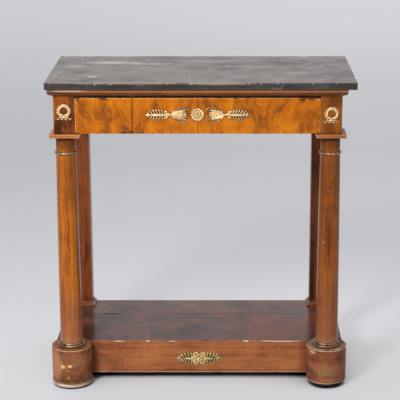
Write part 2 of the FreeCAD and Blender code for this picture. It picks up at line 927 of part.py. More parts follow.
single = {
    "marble_top": marble_top(),
    "cornice_front": cornice_front(),
    "top_rail": top_rail(),
    "lower_rail": lower_rail(),
    "back_rail": back_rail(),
    "drawer_guides": both_ends(drawer_guide()),
    "drawer_stops": both_ends(drawer_stop()),
    "drum_dowels": both_ends(drum_dowel(0)),
    "foot_pads": both_ends(foot_pad()),
    "platform_veneer": platform_veneer(),
    "platform_front_board": platform_front_board(),
    "platform_back_board": platform_back_board(),
    "shelf_board_front": shelf_board_front(),
    "shelf_board_rear": shelf_board_rear(),
    "platform_blocks": platform_blocks(),
    "wreath_left": wreath(-1, wreath_height_left),
    "wreath_right": wreath(1, wreath_height_right),
    "platform_mount": platform_mount(),
    "drawer_front": drawer_front(),
    "drawer_veneer": drawer_veneer(),
    "drawer_back": drawer_back(),
    "drawer_bottom": drawer_bottom(),
    "drawer_rosette": drawer_rosette(),
}

os.makedirs("parts", exist_ok=True)
for name, shape in paired.items():
    shape.exportStep(f"parts/{name}_right.step")
    on_left(shape).exportStep(f"parts/{name}_left.step")
for name, shape in single.items():
    shape.exportStep(f"parts/{name}.step")
print(2 * len(paired) + len(single), "nodes written")
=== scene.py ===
import math

import bmesh
import bpy
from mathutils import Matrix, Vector, noise


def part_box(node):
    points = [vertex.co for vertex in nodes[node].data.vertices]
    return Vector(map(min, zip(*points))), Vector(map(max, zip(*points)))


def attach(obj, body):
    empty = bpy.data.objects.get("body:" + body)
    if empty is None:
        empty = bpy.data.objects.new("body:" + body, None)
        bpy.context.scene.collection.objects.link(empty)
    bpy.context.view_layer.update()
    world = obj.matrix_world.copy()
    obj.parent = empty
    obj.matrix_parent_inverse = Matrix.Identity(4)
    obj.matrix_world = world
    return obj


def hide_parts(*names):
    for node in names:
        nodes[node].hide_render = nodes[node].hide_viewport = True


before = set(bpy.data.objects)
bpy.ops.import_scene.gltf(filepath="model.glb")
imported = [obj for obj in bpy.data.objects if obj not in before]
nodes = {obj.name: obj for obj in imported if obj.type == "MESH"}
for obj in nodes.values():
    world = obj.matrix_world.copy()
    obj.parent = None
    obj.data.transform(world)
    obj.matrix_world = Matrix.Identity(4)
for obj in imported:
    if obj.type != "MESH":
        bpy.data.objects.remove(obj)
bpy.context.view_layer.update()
mm = 0.001
sides = {"Left": -1, "Right": 1}
print("frame loaded,", len(nodes), "nodes")


# node tree helpers

def addNode(tree, kind, sockets=None, **settings):
    node = tree.nodes.new(kind)
    for key, value in settings.items():
        setattr(node, key, value)
    for key, value in (sockets or {}).items():
        if isinstance(value, bpy.types.NodeSocket):
            tree.links.new(value, node.inputs[key])
        else:
            node.inputs[key].default_value = value
    return node


def calc(tree, operation, *values, clamp=False):
    sockets = dict(enumerate(values))
    return addNode(tree, "ShaderNodeMath", sockets, operation=operation, use_clamp=clamp).outputs[0]


def vectorCalc(tree, operation, *values):
    node = addNode(tree, "ShaderNodeVectorMath", dict(enumerate(values)), operation=operation)
    return node.outputs["Value" if operation in ("LENGTH", "DOT_PRODUCT") else "Vector"]


def scaled(tree, vector, amount):
    return addNode(tree, "ShaderNodeVectorMath", {0: vector, "Scale": amount},
                   operation="SCALE").outputs["Vector"]


def ease(tree, value, low, high):
    sockets = {"Value": value, "From Min": low, "From Max": high}
    return addNode(tree, "ShaderNodeMapRange", sockets, interpolation_type="SMOOTHSTEP").outputs[0]


def tint(tree, share, below, above):
    return addNode(tree, "ShaderNodeMix", {0: share, 6: below, 7: above}, data_type="RGBA").outputs[2]


def grainNoise(tree, vector, scale, detail=4, roughness=0.55, distortion=0.0):
    sockets = {"Vector": vector, "Scale": scale, "Detail": detail, "Roughness": roughness,
               "Distortion": distortion}
    return addNode(tree, "ShaderNodeTexNoise", sockets).outputs


def objectPlace(tree):
    return addNode(tree, "ShaderNodeTexCoord").outputs["Object"]


def newGroup(name, inputs, outputs):
    group = bpy.data.node_groups.new(name, "ShaderNodeTree")
    for label, kind, value in inputs:
        socket = group.interface.new_socket(label, in_out="INPUT", socket_type="NodeSocket" + kind)
        socket.default_value = value
    for label, kind in outputs:
        group.interface.new_socket(label, in_out="OUTPUT", socket_type="NodeSocket" + kind)
    entry = group.nodes.new("NodeGroupInput").outputs
    leave = group.nodes.new("NodeGroupOutput").inputs
    return group, entry, leave


def useGroup(tree, group, values):
    return addNode(tree, "ShaderNodeGroup", values, node_tree=group).outputs


def newMaterial(name):
    material = bpy.data.materials.new(name)
    material.use_nodes = True
    tree = material.node_tree
    return material, tree, tree.nodes["Principled BSDF"]


def giveBump(tree, shader, height, depth):
    bump = addNode(tree, "ShaderNodeBump", {"Height": height, "Distance": depth, "Strength": 1.0})
    tree.links.new(bump.outputs[0], shader.inputs["Normal"])


def setSockets(shader, **values):
    # sets those of the shader's own sockets that are the same all over
    labels = {"roughness": "Roughness", "specular": "Specular IOR Level", "metal": "Metallic",
              "coat": "Coat Weight", "coatIor": "Coat IOR", "coatGloss": "Coat Roughness"}
    for key, value in values.items():
        shader.inputs[labels[key]].default_value = value


def linkSockets(tree, shader, color, rough):
    tree.links.new(color, shader.inputs["Base Color"])
    tree.links.new(rough, shader.inputs["Roughness"])


def centred(tree, vector, amount):
    # a noise colour turned into a shift either way
    return scaled(tree, vectorCalc(tree, "SUBTRACT", vector, (0.5, 0.5, 0.5)), amount)


def flipped(tree, value, clamp=False):
    return calc(tree, "SUBTRACT", 1.0, value, clamp=clamp)


def times(tree, value, amount):
    return calc(tree, "MULTIPLY", value, amount)


# camera, light and backdrop

shot = {"place": (0.0720, -3.8825, 1.5613), "pitch": -15.49, "lens": 128.96, "shift": -0.0626}
studio = {
    "floorColor": (0.620, 0.625, 0.645, 1),
    "shadowColor": (0.012, 0.010, 0.010, 1),  # under the platform and against the feet
    "nearGlow": (0.790, 0.795, 0.815, 1),
    "midGlow": (0.610, 0.610, 0.642, 1),
    "highGlow": (0.800, 0.805, 0.830, 1),
    "leftShade": (0.920, 0.925, 0.930, 1),
    "rightShade": (1.050, 1.045, 1.050, 1),
    "lift": 0.58,  # share of the paper's look that no shadow reaches
    "closeBy": 0.2,  # metres within which things darken the paper
    "shadowAt": (0.12, 0.34), "liftAt": (0.30, 0.74),  # openness at which each starts and is full
    "midAlong": (-0.9, 1.6), "highUp": (0.02, 0.6), "shadeAcross": (-1.0, 0.9),
    "fadeAcross": (1.8, 6.0), "fadeFront": (3.0, 6.4), "fadeUp": (1.2, 2.9),
    "skyColor": (0.80, 0.80, 0.82, 1),
    "skyStrength": 0.42,
    "skyGlow": (0.62, 0.62, 0.65, 1),  # as the eye sees it past the paper
    "wallAt": 2.6,  # metres behind the table
    "wallBend": 1.1, "wallHeight": 3.2, "bendSteps": 16,
    "reach": 7.0,
}
lamps = {
    "keyLamp": {"place": (-1.6, -3.0, 2.75), "aim": (0, 0, 0.45), "size": 1.1, "power": 130},
    "fillLamp": {"place": (1.9, -3.3, 1.7), "aim": (0, 0, 0.4), "size": 0.9, "power": 8},
    "topLamp": {"place": (-0.3, 0.6, 3.0), "aim": (0, 0, 0.8), "size": 1.6, "power": 40},
}


def aimAt(thing, target):
    thing.rotation_mode = "QUATERNION"
    thing.rotation_quaternion = (Vector(target) - thing.location).to_track_quat("-Z", "Y")


def buildCamera():
    data = bpy.data.cameras.new("camera")
    data.lens = shot["lens"]
    data.sensor_width = 36
    data.shift_x = shot["shift"]
    camera = bpy.data.objects.new("camera", data)
    camera.location = shot["place"]
    camera.rotation_euler = (math.radians(90 + shot["pitch"]), 0, 0)
    bpy.context.scene.collection.objects.link(camera)
    bpy.context.scene.camera = camera


def buildLamps():
    for name, lamp in lamps.items():
        data = bpy.data.lights.new(name, "AREA")
        data.shape = "DISK"
        data.size = lamp["size"]
        data.energy = lamp["power"]
        thing = bpy.data.objects.new(name, data)
        thing.location = lamp["place"]
        aimAt(thing, lamp["aim"])
        bpy.context.scene.collection.objects.link(thing)


def buildSky():
    world = bpy.data.worlds.new("sky")
    world.use_nodes = True
    tree = world.node_tree
    backing = tree.nodes["Background"]
    backing.inputs["Color"].default_value = studio["skyColor"]
    backing.inputs["Strength"].default_value = studio["skyStrength"]
    seen = addNode(tree, "ShaderNodeBackground", {"Color": studio["skyGlow"], "Strength": 1.0})
    ray = addNode(tree, "ShaderNodeLightPath").outputs["Is Camera Ray"]
    mixed = addNode(tree, "ShaderNodeMixShader", {0: ray, 1: backing.outputs[0], 2: seen.outputs[0]})
    tree.links.new(mixed.outputs[0], tree.nodes["World Output"].inputs["Surface"])
    bpy.context.scene.world = world


def buildBackdrop():
    reach = studio["reach"]
    bend = studio["wallBend"]
    steps = studio["bendSteps"]
    line = [(-reach, 0.0)]
    for step in range(steps + 1):
        turn = math.pi / 2 * step / steps
        line.append((studio["wallAt"] + bend * math.sin(turn), bend * (1 - math.cos(turn))))
    line.append((studio["wallAt"] + bend, studio["wallHeight"] + bend))
    points = [(x, y, z) for y, z in line for x in (-reach, reach)]
    faces = [(2 * n, 2 * n + 1, 2 * n + 3, 2 * n + 2) for n in range(len(line) - 1)]
    mesh = bpy.data.meshes.new("backdrop")
    mesh.from_pydata(points, [], faces)
    mesh.polygons.foreach_set("use_smooth", [True] * len(mesh.polygons))
    backdrop = bpy.data.objects.new("backdrop", mesh)
    bpy.context.scene.collection.objects.link(backdrop)
    mesh.materials.append(paperMaterial())


def paperMaterial():
    # pale paper, a part of which shows at its own strength to the eye, except in close corners
    material, tree, shader = newMaterial("backdropPaper")
    openness = addNode(tree, "ShaderNodeAmbientOcclusion", {"Distance": studio["closeBy"]},
                       samples=16).outputs["AO"]
    shadow = ease(tree, openness, *studio["shadowAt"])
    floorTint = tint(tree, shadow, studio["shadowColor"], studio["floorColor"])
    tree.links.new(floorTint, shader.inputs["Base Color"])
    setSockets(shader, roughness=0.85, specular=0.1)
    across, along, up = addNode(tree, "ShaderNodeSeparateXYZ", {0: objectPlace(tree)}).outputs
    shade = tint(tree, ease(tree, along, *studio["midAlong"]), studio["nearGlow"], studio["midGlow"])
    shade = tint(tree, ease(tree, up, *studio["highUp"]), shade, studio["highGlow"])
    side = tint(tree, ease(tree, across, *studio["shadeAcross"]), studio["leftShade"], studio["rightShade"])
    shade = vectorCalc(tree, "MULTIPLY", shade, side)
    # far from the table the paper runs into the sky without an edge
    sideways = ease(tree, calc(tree, "ABSOLUTE", across, 0.0), *studio["fadeAcross"])
    forward = ease(tree, times(tree, along, -1.0), *studio["fadeFront"])
    upward = ease(tree, up, *studio["fadeUp"])
    far = calc(tree, "MAXIMUM", sideways, calc(tree, "MAXIMUM", forward, upward))
    shade = tint(tree, far, shade, studio["skyGlow"])
    glow = addNode(tree, "ShaderNodeEmission", {"Color": shade, "Strength": 1.0})
    rays = addNode(tree, "ShaderNodeLightPath").outputs
    seen = calc(tree, "MAXIMUM", rays["Is Camera Ray"], rays["Is Glossy Ray"])
    lift = times(tree, ease(tree, openness, *studio["liftAt"]), studio["lift"])
    share = times(tree, seen, calc(tree, "MAXIMUM", lift, far))
    mixed = addNode(tree, "ShaderNodeMixShader", {0: share, 1: shader.outputs[0], 2: glow.outputs[0]})
    clear = addNode(tree, "ShaderNodeBsdfTransparent").outputs[0]
    behind = addNode(tree, "ShaderNodeNewGeometry").outputs["Backfacing"]
    whole = addNode(tree, "ShaderNodeMixShader", {0: behind, 1: mixed.outputs[0], 2: clear})
    tree.links.new(whole.outputs[0], tree.nodes["Material Output"].inputs["Surface"])
    return material


buildCamera()
buildLamps()
buildSky()
buildBackdrop()
bpy.context.scene.view_settings.view_transform = "Standard"
print("studio ready")


# shared effects

def buildGrainGroup():
    # streaks, fine fibres, pores and cloudy patches of wood, stretched along its grain
    inputs = [("Stretch", "Vector", (120, 120, 6)), ("Shift", "Vector", (0, 0, 0)),
              ("Pale", "Color", (0.5, 0.2, 0.05, 1)), ("Mid", "Color", (0.3, 0.1, 0.03, 1)),
              ("Dark", "Color", (0.1, 0.03, 0.01, 1)), ("Streaks", "Float", 1.0),
              ("Patches", "Float", 0.5), ("Pores", "Float", 0.4)]
    outputs = [("Color", "Color"), ("Tone", "Float"), ("Height", "Float")]
    group, given, leave = newGroup("woodGrain", inputs, outputs)
    place = vectorCalc(group, "ADD", objectPlace(group), given["Shift"])
    sway = centred(group, grainNoise(group, place, 5.0, 2)["Color"], 0.026)
    along = vectorCalc(group, "MULTIPLY", vectorCalc(group, "ADD", place, sway), given["Stretch"])
    streak = grainNoise(group, along, 0.8, 6, 0.62, 0.3)[0]
    fibre = grainNoise(group, along, 4.5, 3, 0.6)[0]
    patch = grainNoise(group, place, 11.0, 3, 0.6, 0.4)[0]
    pore = grainNoise(group, along, 7.5, 1, 0.4)[0]
    tone = times(group, calc(group, "SUBTRACT", streak, 0.5), given["Streaks"])
    tone = calc(group, "ADD", tone, times(group, calc(group, "SUBTRACT", fibre, 0.5), 0.3))
    clouds = times(group, calc(group, "SUBTRACT", patch, 0.5), given["Patches"])
    tone = calc(group, "ADD", calc(group, "ADD", tone, clouds), 0.5)
    color = tint(group, ease(group, tone, 0.28, 0.52), given["Dark"], given["Mid"])
    color = tint(group, ease(group, tone, 0.46, 0.74), color, given["Pale"])
    pit = times(group, ease(group, pore, 0.60, 0.70), given["Pores"])
    color = tint(group, pit, color, given["Dark"])
    height = calc(group, "SUBTRACT", times(group, fibre, 0.35), pit)
    group.links.new(color, leave["Color"])
    group.links.new(tone, leave["Tone"])
    group.links.new(height, leave["Height"])
    return group


def buildEdgeGroup():
    # broken wear along sharp edges
    inputs = [("Reach", "Float", 0.0015), ("Amount", "Float", 0.5), ("Scale", "Float", 120.0)]
    group, given, leave = newGroup("edgeWear", inputs, [("Mask", "Float")])
    bevel = addNode(group, "ShaderNodeBevel", {"Radius": given["Reach"]}, samples=4)
    flat = addNode(group, "ShaderNodeNewGeometry").outputs["Normal"]
    turned = flipped(group, vectorCalc(group, "DOT_PRODUCT", bevel.outputs[0], flat))
    edge = ease(group, turned, 0.012, 0.16)
    broken = grainNoise(group, objectPlace(group), given["Scale"], 4, 0.7)[0]
    gate = calc(group, "SUBTRACT", calc(group, "ADD", broken, given["Amount"]), 1.0)
    mask = times(group, edge, ease(group, gate, -0.06, 0.08))
    group.links.new(mask, leave["Mask"])
    return group


def buildSpotGroup():
    # one ragged spot at a place
    inputs = [("Place", "Vector", (0, 0, 0)), ("Reach", "Vector", (0.01, 0.01, 0.01)),
              ("Ragged", "Float", 0.5), ("Solid", "Float", 0.8), ("Amount", "Float", 1.0),
              ("Scale", "Float", 200.0)]
    group, given, leave = newGroup("wornSpot", inputs, [("Mask", "Float")])
    here = objectPlace(group)
    offset = vectorCalc(group, "DIVIDE", vectorCalc(group, "SUBTRACT", here, given["Place"]),
                        given["Reach"])
    torn = calc(group, "SUBTRACT", grainNoise(group, here, given["Scale"], 4, 0.65)[0], 0.5)
    away = calc(group, "ADD", vectorCalc(group, "LENGTH", offset),
                times(group, torn, given["Ragged"]))
    mask = flipped(group, ease(group, away, given["Solid"], 1.0))
    group.links.new(times(group, mask, given["Amount"]), leave["Mask"])
    return group


def buildNickGroup():
    # sparse small nicks, each a speck of a few millimetres
    inputs = [("Scale", "Float", 22.0), ("Share", "Float", 0.12), ("Reach", "Float", 0.07),
              ("Shift", "Vector", (0, 0, 0))]
    group, given, leave = newGroup("nicks", inputs, [("Mask", "Float")])
    place = vectorCalc(group, "ADD", objectPlace(group), given["Shift"])
    wobble = grainNoise(group, place, 300.0, 2)["Color"]
    place = vectorCalc(group, "ADD", place, scaled(group, wobble, 0.003))
    cells = addNode(group, "ShaderNodeTexVoronoi", {"Vector": place, "Scale": given["Scale"]}).outputs
    pick = addNode(group, "ShaderNodeSeparateColor", {0: cells["Color"]}).outputs[0]
    chosen = calc(group, "LESS_THAN", pick, given["Share"])
    near = calc(group, "LESS_THAN", cells["Distance"], given["Reach"])
    group.links.new(times(group, chosen, near), leave["Mask"])
    return group


def buildGrimeAndShadeGroup():
    # dirt that gathers in corners, with painted shade there: darker where a point is shut in by nearby
    # surfaces
    inputs = [("Reach", "Float", 0.006), ("Amount", "Float", 0.8), ("Start", "Float", 0.10),
              ("Full", "Float", 0.60)]
    group, given, leave = newGroup("cornerGrimeAndShade", inputs, [("Mask", "Float")])
    shade = addNode(group, "ShaderNodeAmbientOcclusion", {"Distance": given["Reach"]}, samples=6)
    shut = flipped(group, shade.outputs["AO"])
    dirtAndShade = grainNoise(group, objectPlace(group), 160.0, 3)[0]
    depth = times(group, ease(group, shut, given["Start"], given["Full"]), ease(group, dirtAndShade, 0.05, 0.5))
    group.links.new(times(group, depth, given["Amount"]), leave["Mask"])
    return group


def buildHandlingGroup():
    # smears in the polish and hair scratches
    inputs = [("Low", "Float", 0.25), ("High", "Float", 0.45), ("Shift", "Vector", (0, 0, 0))]
    outputs = [("Roughness", "Float"), ("Scratch", "Float")]
    group, given, leave = newGroup("handling", inputs, outputs)
    place = vectorCalc(group, "ADD", objectPlace(group), given["Shift"])
    smear = grainNoise(group, place, 16.0, 5, 0.65, 0.6)[0]
    span = calc(group, "SUBTRACT", given["High"], given["Low"])
    rough = calc(group, "ADD", given["Low"], times(group, ease(group, smear, 0.3, 0.7), span))
    thin = grainNoise(group, vectorCalc(group, "MULTIPLY", place, (40, 900, 900)), 1.0, 2)[0]
    level = grainNoise(group, vectorCalc(group, "MULTIPLY", place, (700, 700, 50)), 1.0, 2)[0]
    scratch = calc(group, "MAXIMUM", ease(group, thin, 0.70, 0.76), ease(group, level, 0.72, 0.78))
    group.links.new(rough, leave["Roughness"])
    group.links.new(scratch, leave["Scratch"])
    return group


def buildDustGroup():
    # a thin haze on faces that look up
    inputs = [("Amount", "Float", 0.3), ("Scale", "Float", 9.0)]
    group, given, leave = newGroup("dust", inputs, [("Mask", "Float")])
    normal = addNode(group, "ShaderNodeNewGeometry").outputs["Normal"]
    up = addNode(group, "ShaderNodeSeparateXYZ", {0: normal}).outputs[2]
    cloud = grainNoise(group, objectPlace(group), given["Scale"], 5, 0.65, 0.5)[0]
    mask = times(group, ease(group, up, 0.6, 0.95), ease(group, cloud, 0.15, 0.75))
    group.links.new(times(group, mask, given["Amount"]), leave["Mask"])
    return group


grainGroup = buildGrainGroup()
edgeGroup = buildEdgeGroup()
spotGroup = buildSpotGroup()
nickGroup = buildNickGroup()
grimeAndShadeGroup = buildGrimeAndShadeGroup()
handlingGroup = buildHandlingGroup()
dustGroup = buildDustGroup()
print("shared effects ready")


# polished and bare woods

grainAlong = {"x": (2.6, 120, 120), "y": (120, 2.6, 120), "z": (120, 120, 2.6)}
# colour of the dirt and painted shade laid into corners
dirtAndShadeColor = (0.018, 0.010, 0.006, 1)
anyWood = {  # what a finish has where it doesn't say otherwise
    "coarse": 1.0, "shift": (0, 0, 0), "streaks": 1.1, "patches": 0.5, "pores": 0.35, "relief": 0.12,
    "wear": 0.5, "wearReach": 1.6, "worn": (0.47, 0.29, 0.16, 1), "nicks": 0.08,  # reach in mm
    "grimeAndShade": 0.75, "dust": 0.12, "haze": (0.30, 0.28, 0.27, 1),
    "shine": 0.14, "polish": 0.35, "coatIor": 1.28, "coatGloss": 0.12,
}


def markColor(tree, color, marks):
    # lays ragged spots over a colour, in turn, and gives each one's mask
    masks = []
    for place, reach, markTint, look in marks:
        sockets = {"Place": Vector(place) * mm, "Reach": Vector(reach) * mm, **look}
        masks.append(useGroup(tree, spotGroup, sockets)["Mask"])
        color = tint(tree, masks[-1], color, markTint)
    return color, masks


def marksFrom(origin, rows, looks):
    # rows give places from the origin and reaches, all in mm, then a colour and the name of a look
    return [(Vector(origin) / mm + Vector(place), reach, color, looks[look])
            for place, reach, color, look in rows]


def woodMaterial(name, finish, marks=()):
    finish = {**anyWood, **finish}
    material, tree, shader = newMaterial(name)
    shift = finish["shift"]
    grain = useGroup(tree, grainGroup, {
        "Stretch": Vector(grainAlong[finish["along"]]) * finish["coarse"], "Shift": shift,
        "Pale": finish["pale"], "Mid": finish["mid"], "Dark": finish["dark"],
        "Streaks": finish["streaks"], "Patches": finish["patches"], "Pores": finish["pores"]})
    worn = {"Reach": finish["wearReach"] * mm, "Amount": finish["wear"]}
    wear = useGroup(tree, edgeGroup, worn)["Mask"]
    nick = useGroup(tree, nickGroup, {"Share": finish["nicks"], "Shift": shift})["Mask"]
    bare = calc(tree, "MAXIMUM", wear, nick)
    dirtAndShade = useGroup(tree, grimeAndShadeGroup, {"Amount": finish["grimeAndShade"]})["Mask"]
    haze = useGroup(tree, dustGroup, {"Amount": finish["dust"]})["Mask"]
    color = tint(tree, bare, grain["Color"], finish["worn"])
    color, masks = markColor(tree, color, marks)
    for mask in masks:
        bare = calc(tree, "MAXIMUM", bare, times(tree, mask, 0.8))
    color = tint(tree, haze, color, finish["haze"])
    # dirt and painted shade in corners
    color = tint(tree, dirtAndShade, color, dirtAndShadeColor)
    low, high = finish["gloss"]
    hand = useGroup(tree, handlingGroup, {"Low": low, "High": high, "Shift": shift})
    rough = calc(tree, "MAXIMUM", hand["Roughness"], times(tree, bare, 0.62))
    rough = calc(tree, "ADD", rough, times(tree, haze, 0.5), clamp=True)
    linkSockets(tree, shader, color, rough)
    setSockets(shader, specular=finish["shine"])
    if finish["polish"]:
        coat = times(tree, flipped(tree, bare, clamp=True), finish["polish"])
        tree.links.new(coat, shader.inputs["Coat Weight"])
        setSockets(shader, coatIor=finish["coatIor"], coatGloss=finish["coatGloss"])
    height = calc(tree, "SUBTRACT", grain["Height"], times(tree, bare, 0.9))
    height = calc(tree, "SUBTRACT", height, times(tree, hand["Scratch"], 0.3))
    giveBump(tree, shader, height, finish["relief"] * mm)
    return material


def dress(material, *names):
    for name in names:
        slots = nodes[name].material_slots
        if len(slots) == 0:
            nodes[name].data.materials.append(material)
        for place in slots:
            place.material = material


def easeEdges(width, *names):
    # real arrises are a little rounded; the width is in mm
    for name in names:
        weld = nodes[name].modifiers.new("weld", "WELD")
        weld.merge_threshold = 0.02 * mm
        bevel = nodes[name].modifiers.new("ease", "BEVEL")
        bevel.width = width * mm
        bevel.segments = 2
        bevel.limit_method = "ANGLE"
        bevel.angle_limit = math.radians(40)
        bevel.harden_normals = True


redWood = {
    "pale": (0.310, 0.100, 0.014, 1), "mid": (0.210, 0.058, 0.008, 1), "dark": (0.075, 0.017, 0.004, 1),
    "gloss": (0.25, 0.42), "polish": 0.45, "wear": 0.52, "streaks": 0.85,
}
bareWood = {
    "pale": (0.440, 0.300, 0.170, 1), "mid": (0.330, 0.210, 0.110, 1), "dark": (0.150, 0.085, 0.040, 1),
    "gloss": (0.55, 0.75), "polish": 0, "pores": 0.5, "relief": 0.2, "dust": 0.2, "wear": 0.4,
    "worn": (0.52, 0.38, 0.23, 1), "coarse": 0.7,
}
darkBareWood = {**bareWood, "pale": (0.270, 0.145, 0.068, 1), "mid": (0.180, 0.090, 0.040, 1),
                "dark": (0.075, 0.034, 0.016, 1), "dust": 0.1}
blockWood = {**redWood, "along": "z", "patches": 1.5, "polish": 0.2, "coarse": 0.6}
frieze = {
    "blockLeft": {**blockWood, "pale": (0.350, 0.096, 0.008, 1), "mid": (0.185, 0.042, 0.004, 1),
                  "dark": (0.065, 0.013, 0.002, 1), "streaks": 1.05, "shift": (0.3, 0, 0)},
    "blockRight": {**blockWood, "pale": (0.300, 0.082, 0.005, 1), "mid": (0.165, 0.039, 0.003, 1),
                   "dark": (0.060, 0.015, 0.002, 1), "streaks": 1.0, "shift": (1.7, 0, 0)},
    "cornice": {**redWood, "along": "x", "pale": (0.270, 0.086, 0.017, 1),
                "mid": (0.165, 0.045, 0.008, 1), "wear": 0.55, "worn": (0.62, 0.36, 0.19, 1)},
    "corniceSide": {**redWood, "along": "y", "wear": 0.56},
    # the top rail is coloured far paler than bare wood as painted light, so the shaded gap above the drawer
    # reads less dark
    "topRail": {**redWood, "along": "x", "pale": (0.620, 0.250, 0.060, 1), "mid": (0.460, 0.165, 0.036, 1),
                "dark": (0.200, 0.065, 0.014, 1), "gloss": (0.6, 0.8), "polish": 0, "shine": 0.04,
                "dust": 0.0, "grimeAndShade": 0.35},
    "sideRail": {**redWood, "along": "y", "mid": (0.230, 0.068, 0.020, 1)},
    # a crack in the left block, by its place across and above the block's foot
    "crack": ((-356.5, 14), (0.9, 10, 13), (0.520, 0.300, 0.150, 1),
              {"Ragged": 0.3, "Solid": 0.3, "Amount": 0.7}),
    # painted highlights on the cornice, a band just under its top and a short line at its left end, by their
    # place across and below its top
    "rubbed": (((0, 4.8), (900, 6, 2.6), (0.560, 0.240, 0.090, 1), 0.6),
               ((-340, 4), (60, 6, 3), (0.780, 0.520, 0.330, 1), 0.7)),
    "blockEase": 0.7, "corniceEase": 0.5,  # mm off the sharp edges
}


def buildFrieze():
    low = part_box("front_block_left")[0] / mm
    (across, up), *crack = frieze["crack"]
    cracks = {"Left": [((across, low.y, low.z + up), *crack)], "Right": []}
    for side in sides:
        wood = woodMaterial("block" + side, frieze["block" + side], cracks[side])
        dress(wood, "front_block_" + side.lower())
    low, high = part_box("cornice_front")
    band = {"Ragged": 0.5, "Solid": 0.5, "Scale": 30.0}
    # the cornice's painted highlights
    rubbed = [((across, low.y / mm, high.z / mm - down), reach, color, {**band, "Amount": amount})
              for (across, down), reach, color, amount in frieze["rubbed"]]
    dress(woodMaterial("corniceWood", frieze["cornice"], rubbed), "cornice_front")
    dress(woodMaterial("corniceSideWood", frieze["corniceSide"]), "cornice_left", "cornice_right")
    dress(woodMaterial("sideRailWood", frieze["sideRail"]), "side_rail_left", "side_rail_right")
    dress(woodMaterial("railWood", {**bareWood, "along": "x"}), "lower_rail", "drawer_stops")
    dress(woodMaterial("topRailWood", frieze["topRail"]), "top_rail")
    dress(woodMaterial("backWood", {**darkBareWood, "along": "x"}), "back_rail", "platform_back_board")
    dress(woodMaterial("runnerWood", {**bareWood, "along": "y"}), "drawer_runner_left",
          "drawer_runner_right", "drawer_kicker_left", "drawer_kicker_right", "drawer_guides")
    easeEdges(frieze["blockEase"], "front_block_left", "front_block_right", "side_rail_left",
              "side_rail_right", "back_rail", "top_rail", "lower_rail")
    easeEdges(frieze["corniceEase"], "cornice_front", "cornice_left", "cornice_right")


buildFrieze()
print("frieze dressed")


# meshes made by rows of points

def meshPiece(name, points, faces, body, material, sharp=0):
    mesh = bpy.data.meshes.new(name)
    mesh.from_pydata(points, [], faces)
    mesh.validate()
    mesh.polygons.foreach_set("use_smooth", [True] * len(mesh.polygons))
    if sharp:
        mesh.set_sharp_from_angle(angle=math.radians(sharp))
    mesh.materials.append(material)
    piece = bpy.data.objects.new(name, mesh)
    bpy.context.scene.collection.objects.link(piece)
    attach(piece, body)
    return piece


def skin(rings, capped=True):
    # closed rings of equal count, joined one to the next
    points = [point for ring in rings for point in ring]
    count = len(rings[0])
    faces = []
    for row in range(len(rings) - 1):
        for step in range(count):
            here = row * count + step
            beside = row * count + (step + 1) % count
            faces.append((here, beside, beside + count, here + count))
    if capped:
        faces.append(tuple(reversed(range(count))))
        last = (len(rings) - 1) * count
        faces.append(tuple(range(last, last + count)))
    return points, faces


def roundedOutline(low, high, corner, spacing):
    # points round a rectangle, counterclockwise from above, each with its outward direction
    outline = []
    turns = [(high.x - corner, low.y + corner, -90), (high.x - corner, high.y - corner, 0),
             (low.x + corner, high.y - corner, 90), (low.x + corner, low.y + corner, 180)]
    bends = 4
    for number, (x, y, start) in enumerate(turns):
        for bend in range(bends + 1):
            angle = math.radians(start + 90 * bend / bends)
            out = Vector((math.cos(angle), math.sin(angle)))
            outline.append((Vector((x, y)) + out * corner, out))
        here = outline[-1]
        x, y, start = turns[(number + 1) % 4]
        angle = math.radians(start)
        target = Vector((x, y)) + Vector((math.cos(angle), math.sin(angle))) * corner
        count = int((target - here[0]).length / spacing)
        outline += [(here[0].lerp(target, step / count), here[1]) for step in range(1, count)]
    return outline


def unevenness(point, scale, seed):
    return noise.noise(Vector(point) * scale + Vector((seed, 0, 0)))


def chipDepth(point, wear, seed):
    # nothing over most of an edge, and a bite of up to wear["deep"] where the noise peaks
    value = noise.fractal(Vector(point) * wear["scale"] + Vector((seed, 0, 0)), 1.0, 2.0, 3)
    return wear["deep"] * min(1.0, max(0.0, value - wear["rare"]) * wear["steep"])


def slabRings(low, high, levels, corner, spacing, wear, seed):
    # levels are (inset, height, share of the chips that this level takes)
    rings = []
    for inset, height, share in levels:
        ring = []
        for flat, out in roundedOutline(low, high, corner, spacing):
            bite = chipDepth((flat.x, flat.y, 0), wear, seed) * share
            rough = unevenness((flat.x, flat.y, height), wear["unevenScale"], seed)
            uneven = wear["uneven"] * (1 - rough)
            spot = flat - out * min(inset + bite + (uneven if inset < wear["deep"] else 0), corner)
            within = max(inset, 0.0)
            x = min(max(spot.x, low.x + within), high.x - within)
            y = min(max(spot.y, low.y + within), high.y - within)
            ring.append((x, y, height - bite * wear["drop"]))
        rings.append(ring)
    return rings


def closeTop(points, faces, count, reach):
    # draws the last ring in to a line along the middle, so that a broad top has no thin faces
    low = Vector((min(p[0] for p in points), min(p[1] for p in points)))
    high = Vector((max(p[0] for p in points), max(p[1] for p in points)))
    middle = (low.y + high.y) / 2
    faces.pop()
    edge = points[-count:]
    for share in (0.33, 0.66, 1.0):
        start = len(points)
        for x, y, z in edge:
            spine = Vector((min(max(x, low.x + reach), high.x - reach), middle))
            spot = Vector((x, y)).lerp(spine, share)
            points.append((spot.x, spot.y, z))
        faces += [(start - count + n, start - count + (n + 1) % count, start + (n + 1) % count, start + n)
                  for n in range(count)]


def mergeClose(piece, distance):
    work = bmesh.new()
    work.from_mesh(piece.data)
    bmesh.ops.remove_doubles(work, verts=work.verts, dist=distance)
    work.to_mesh(piece.data)
    work.free()


# marble slab

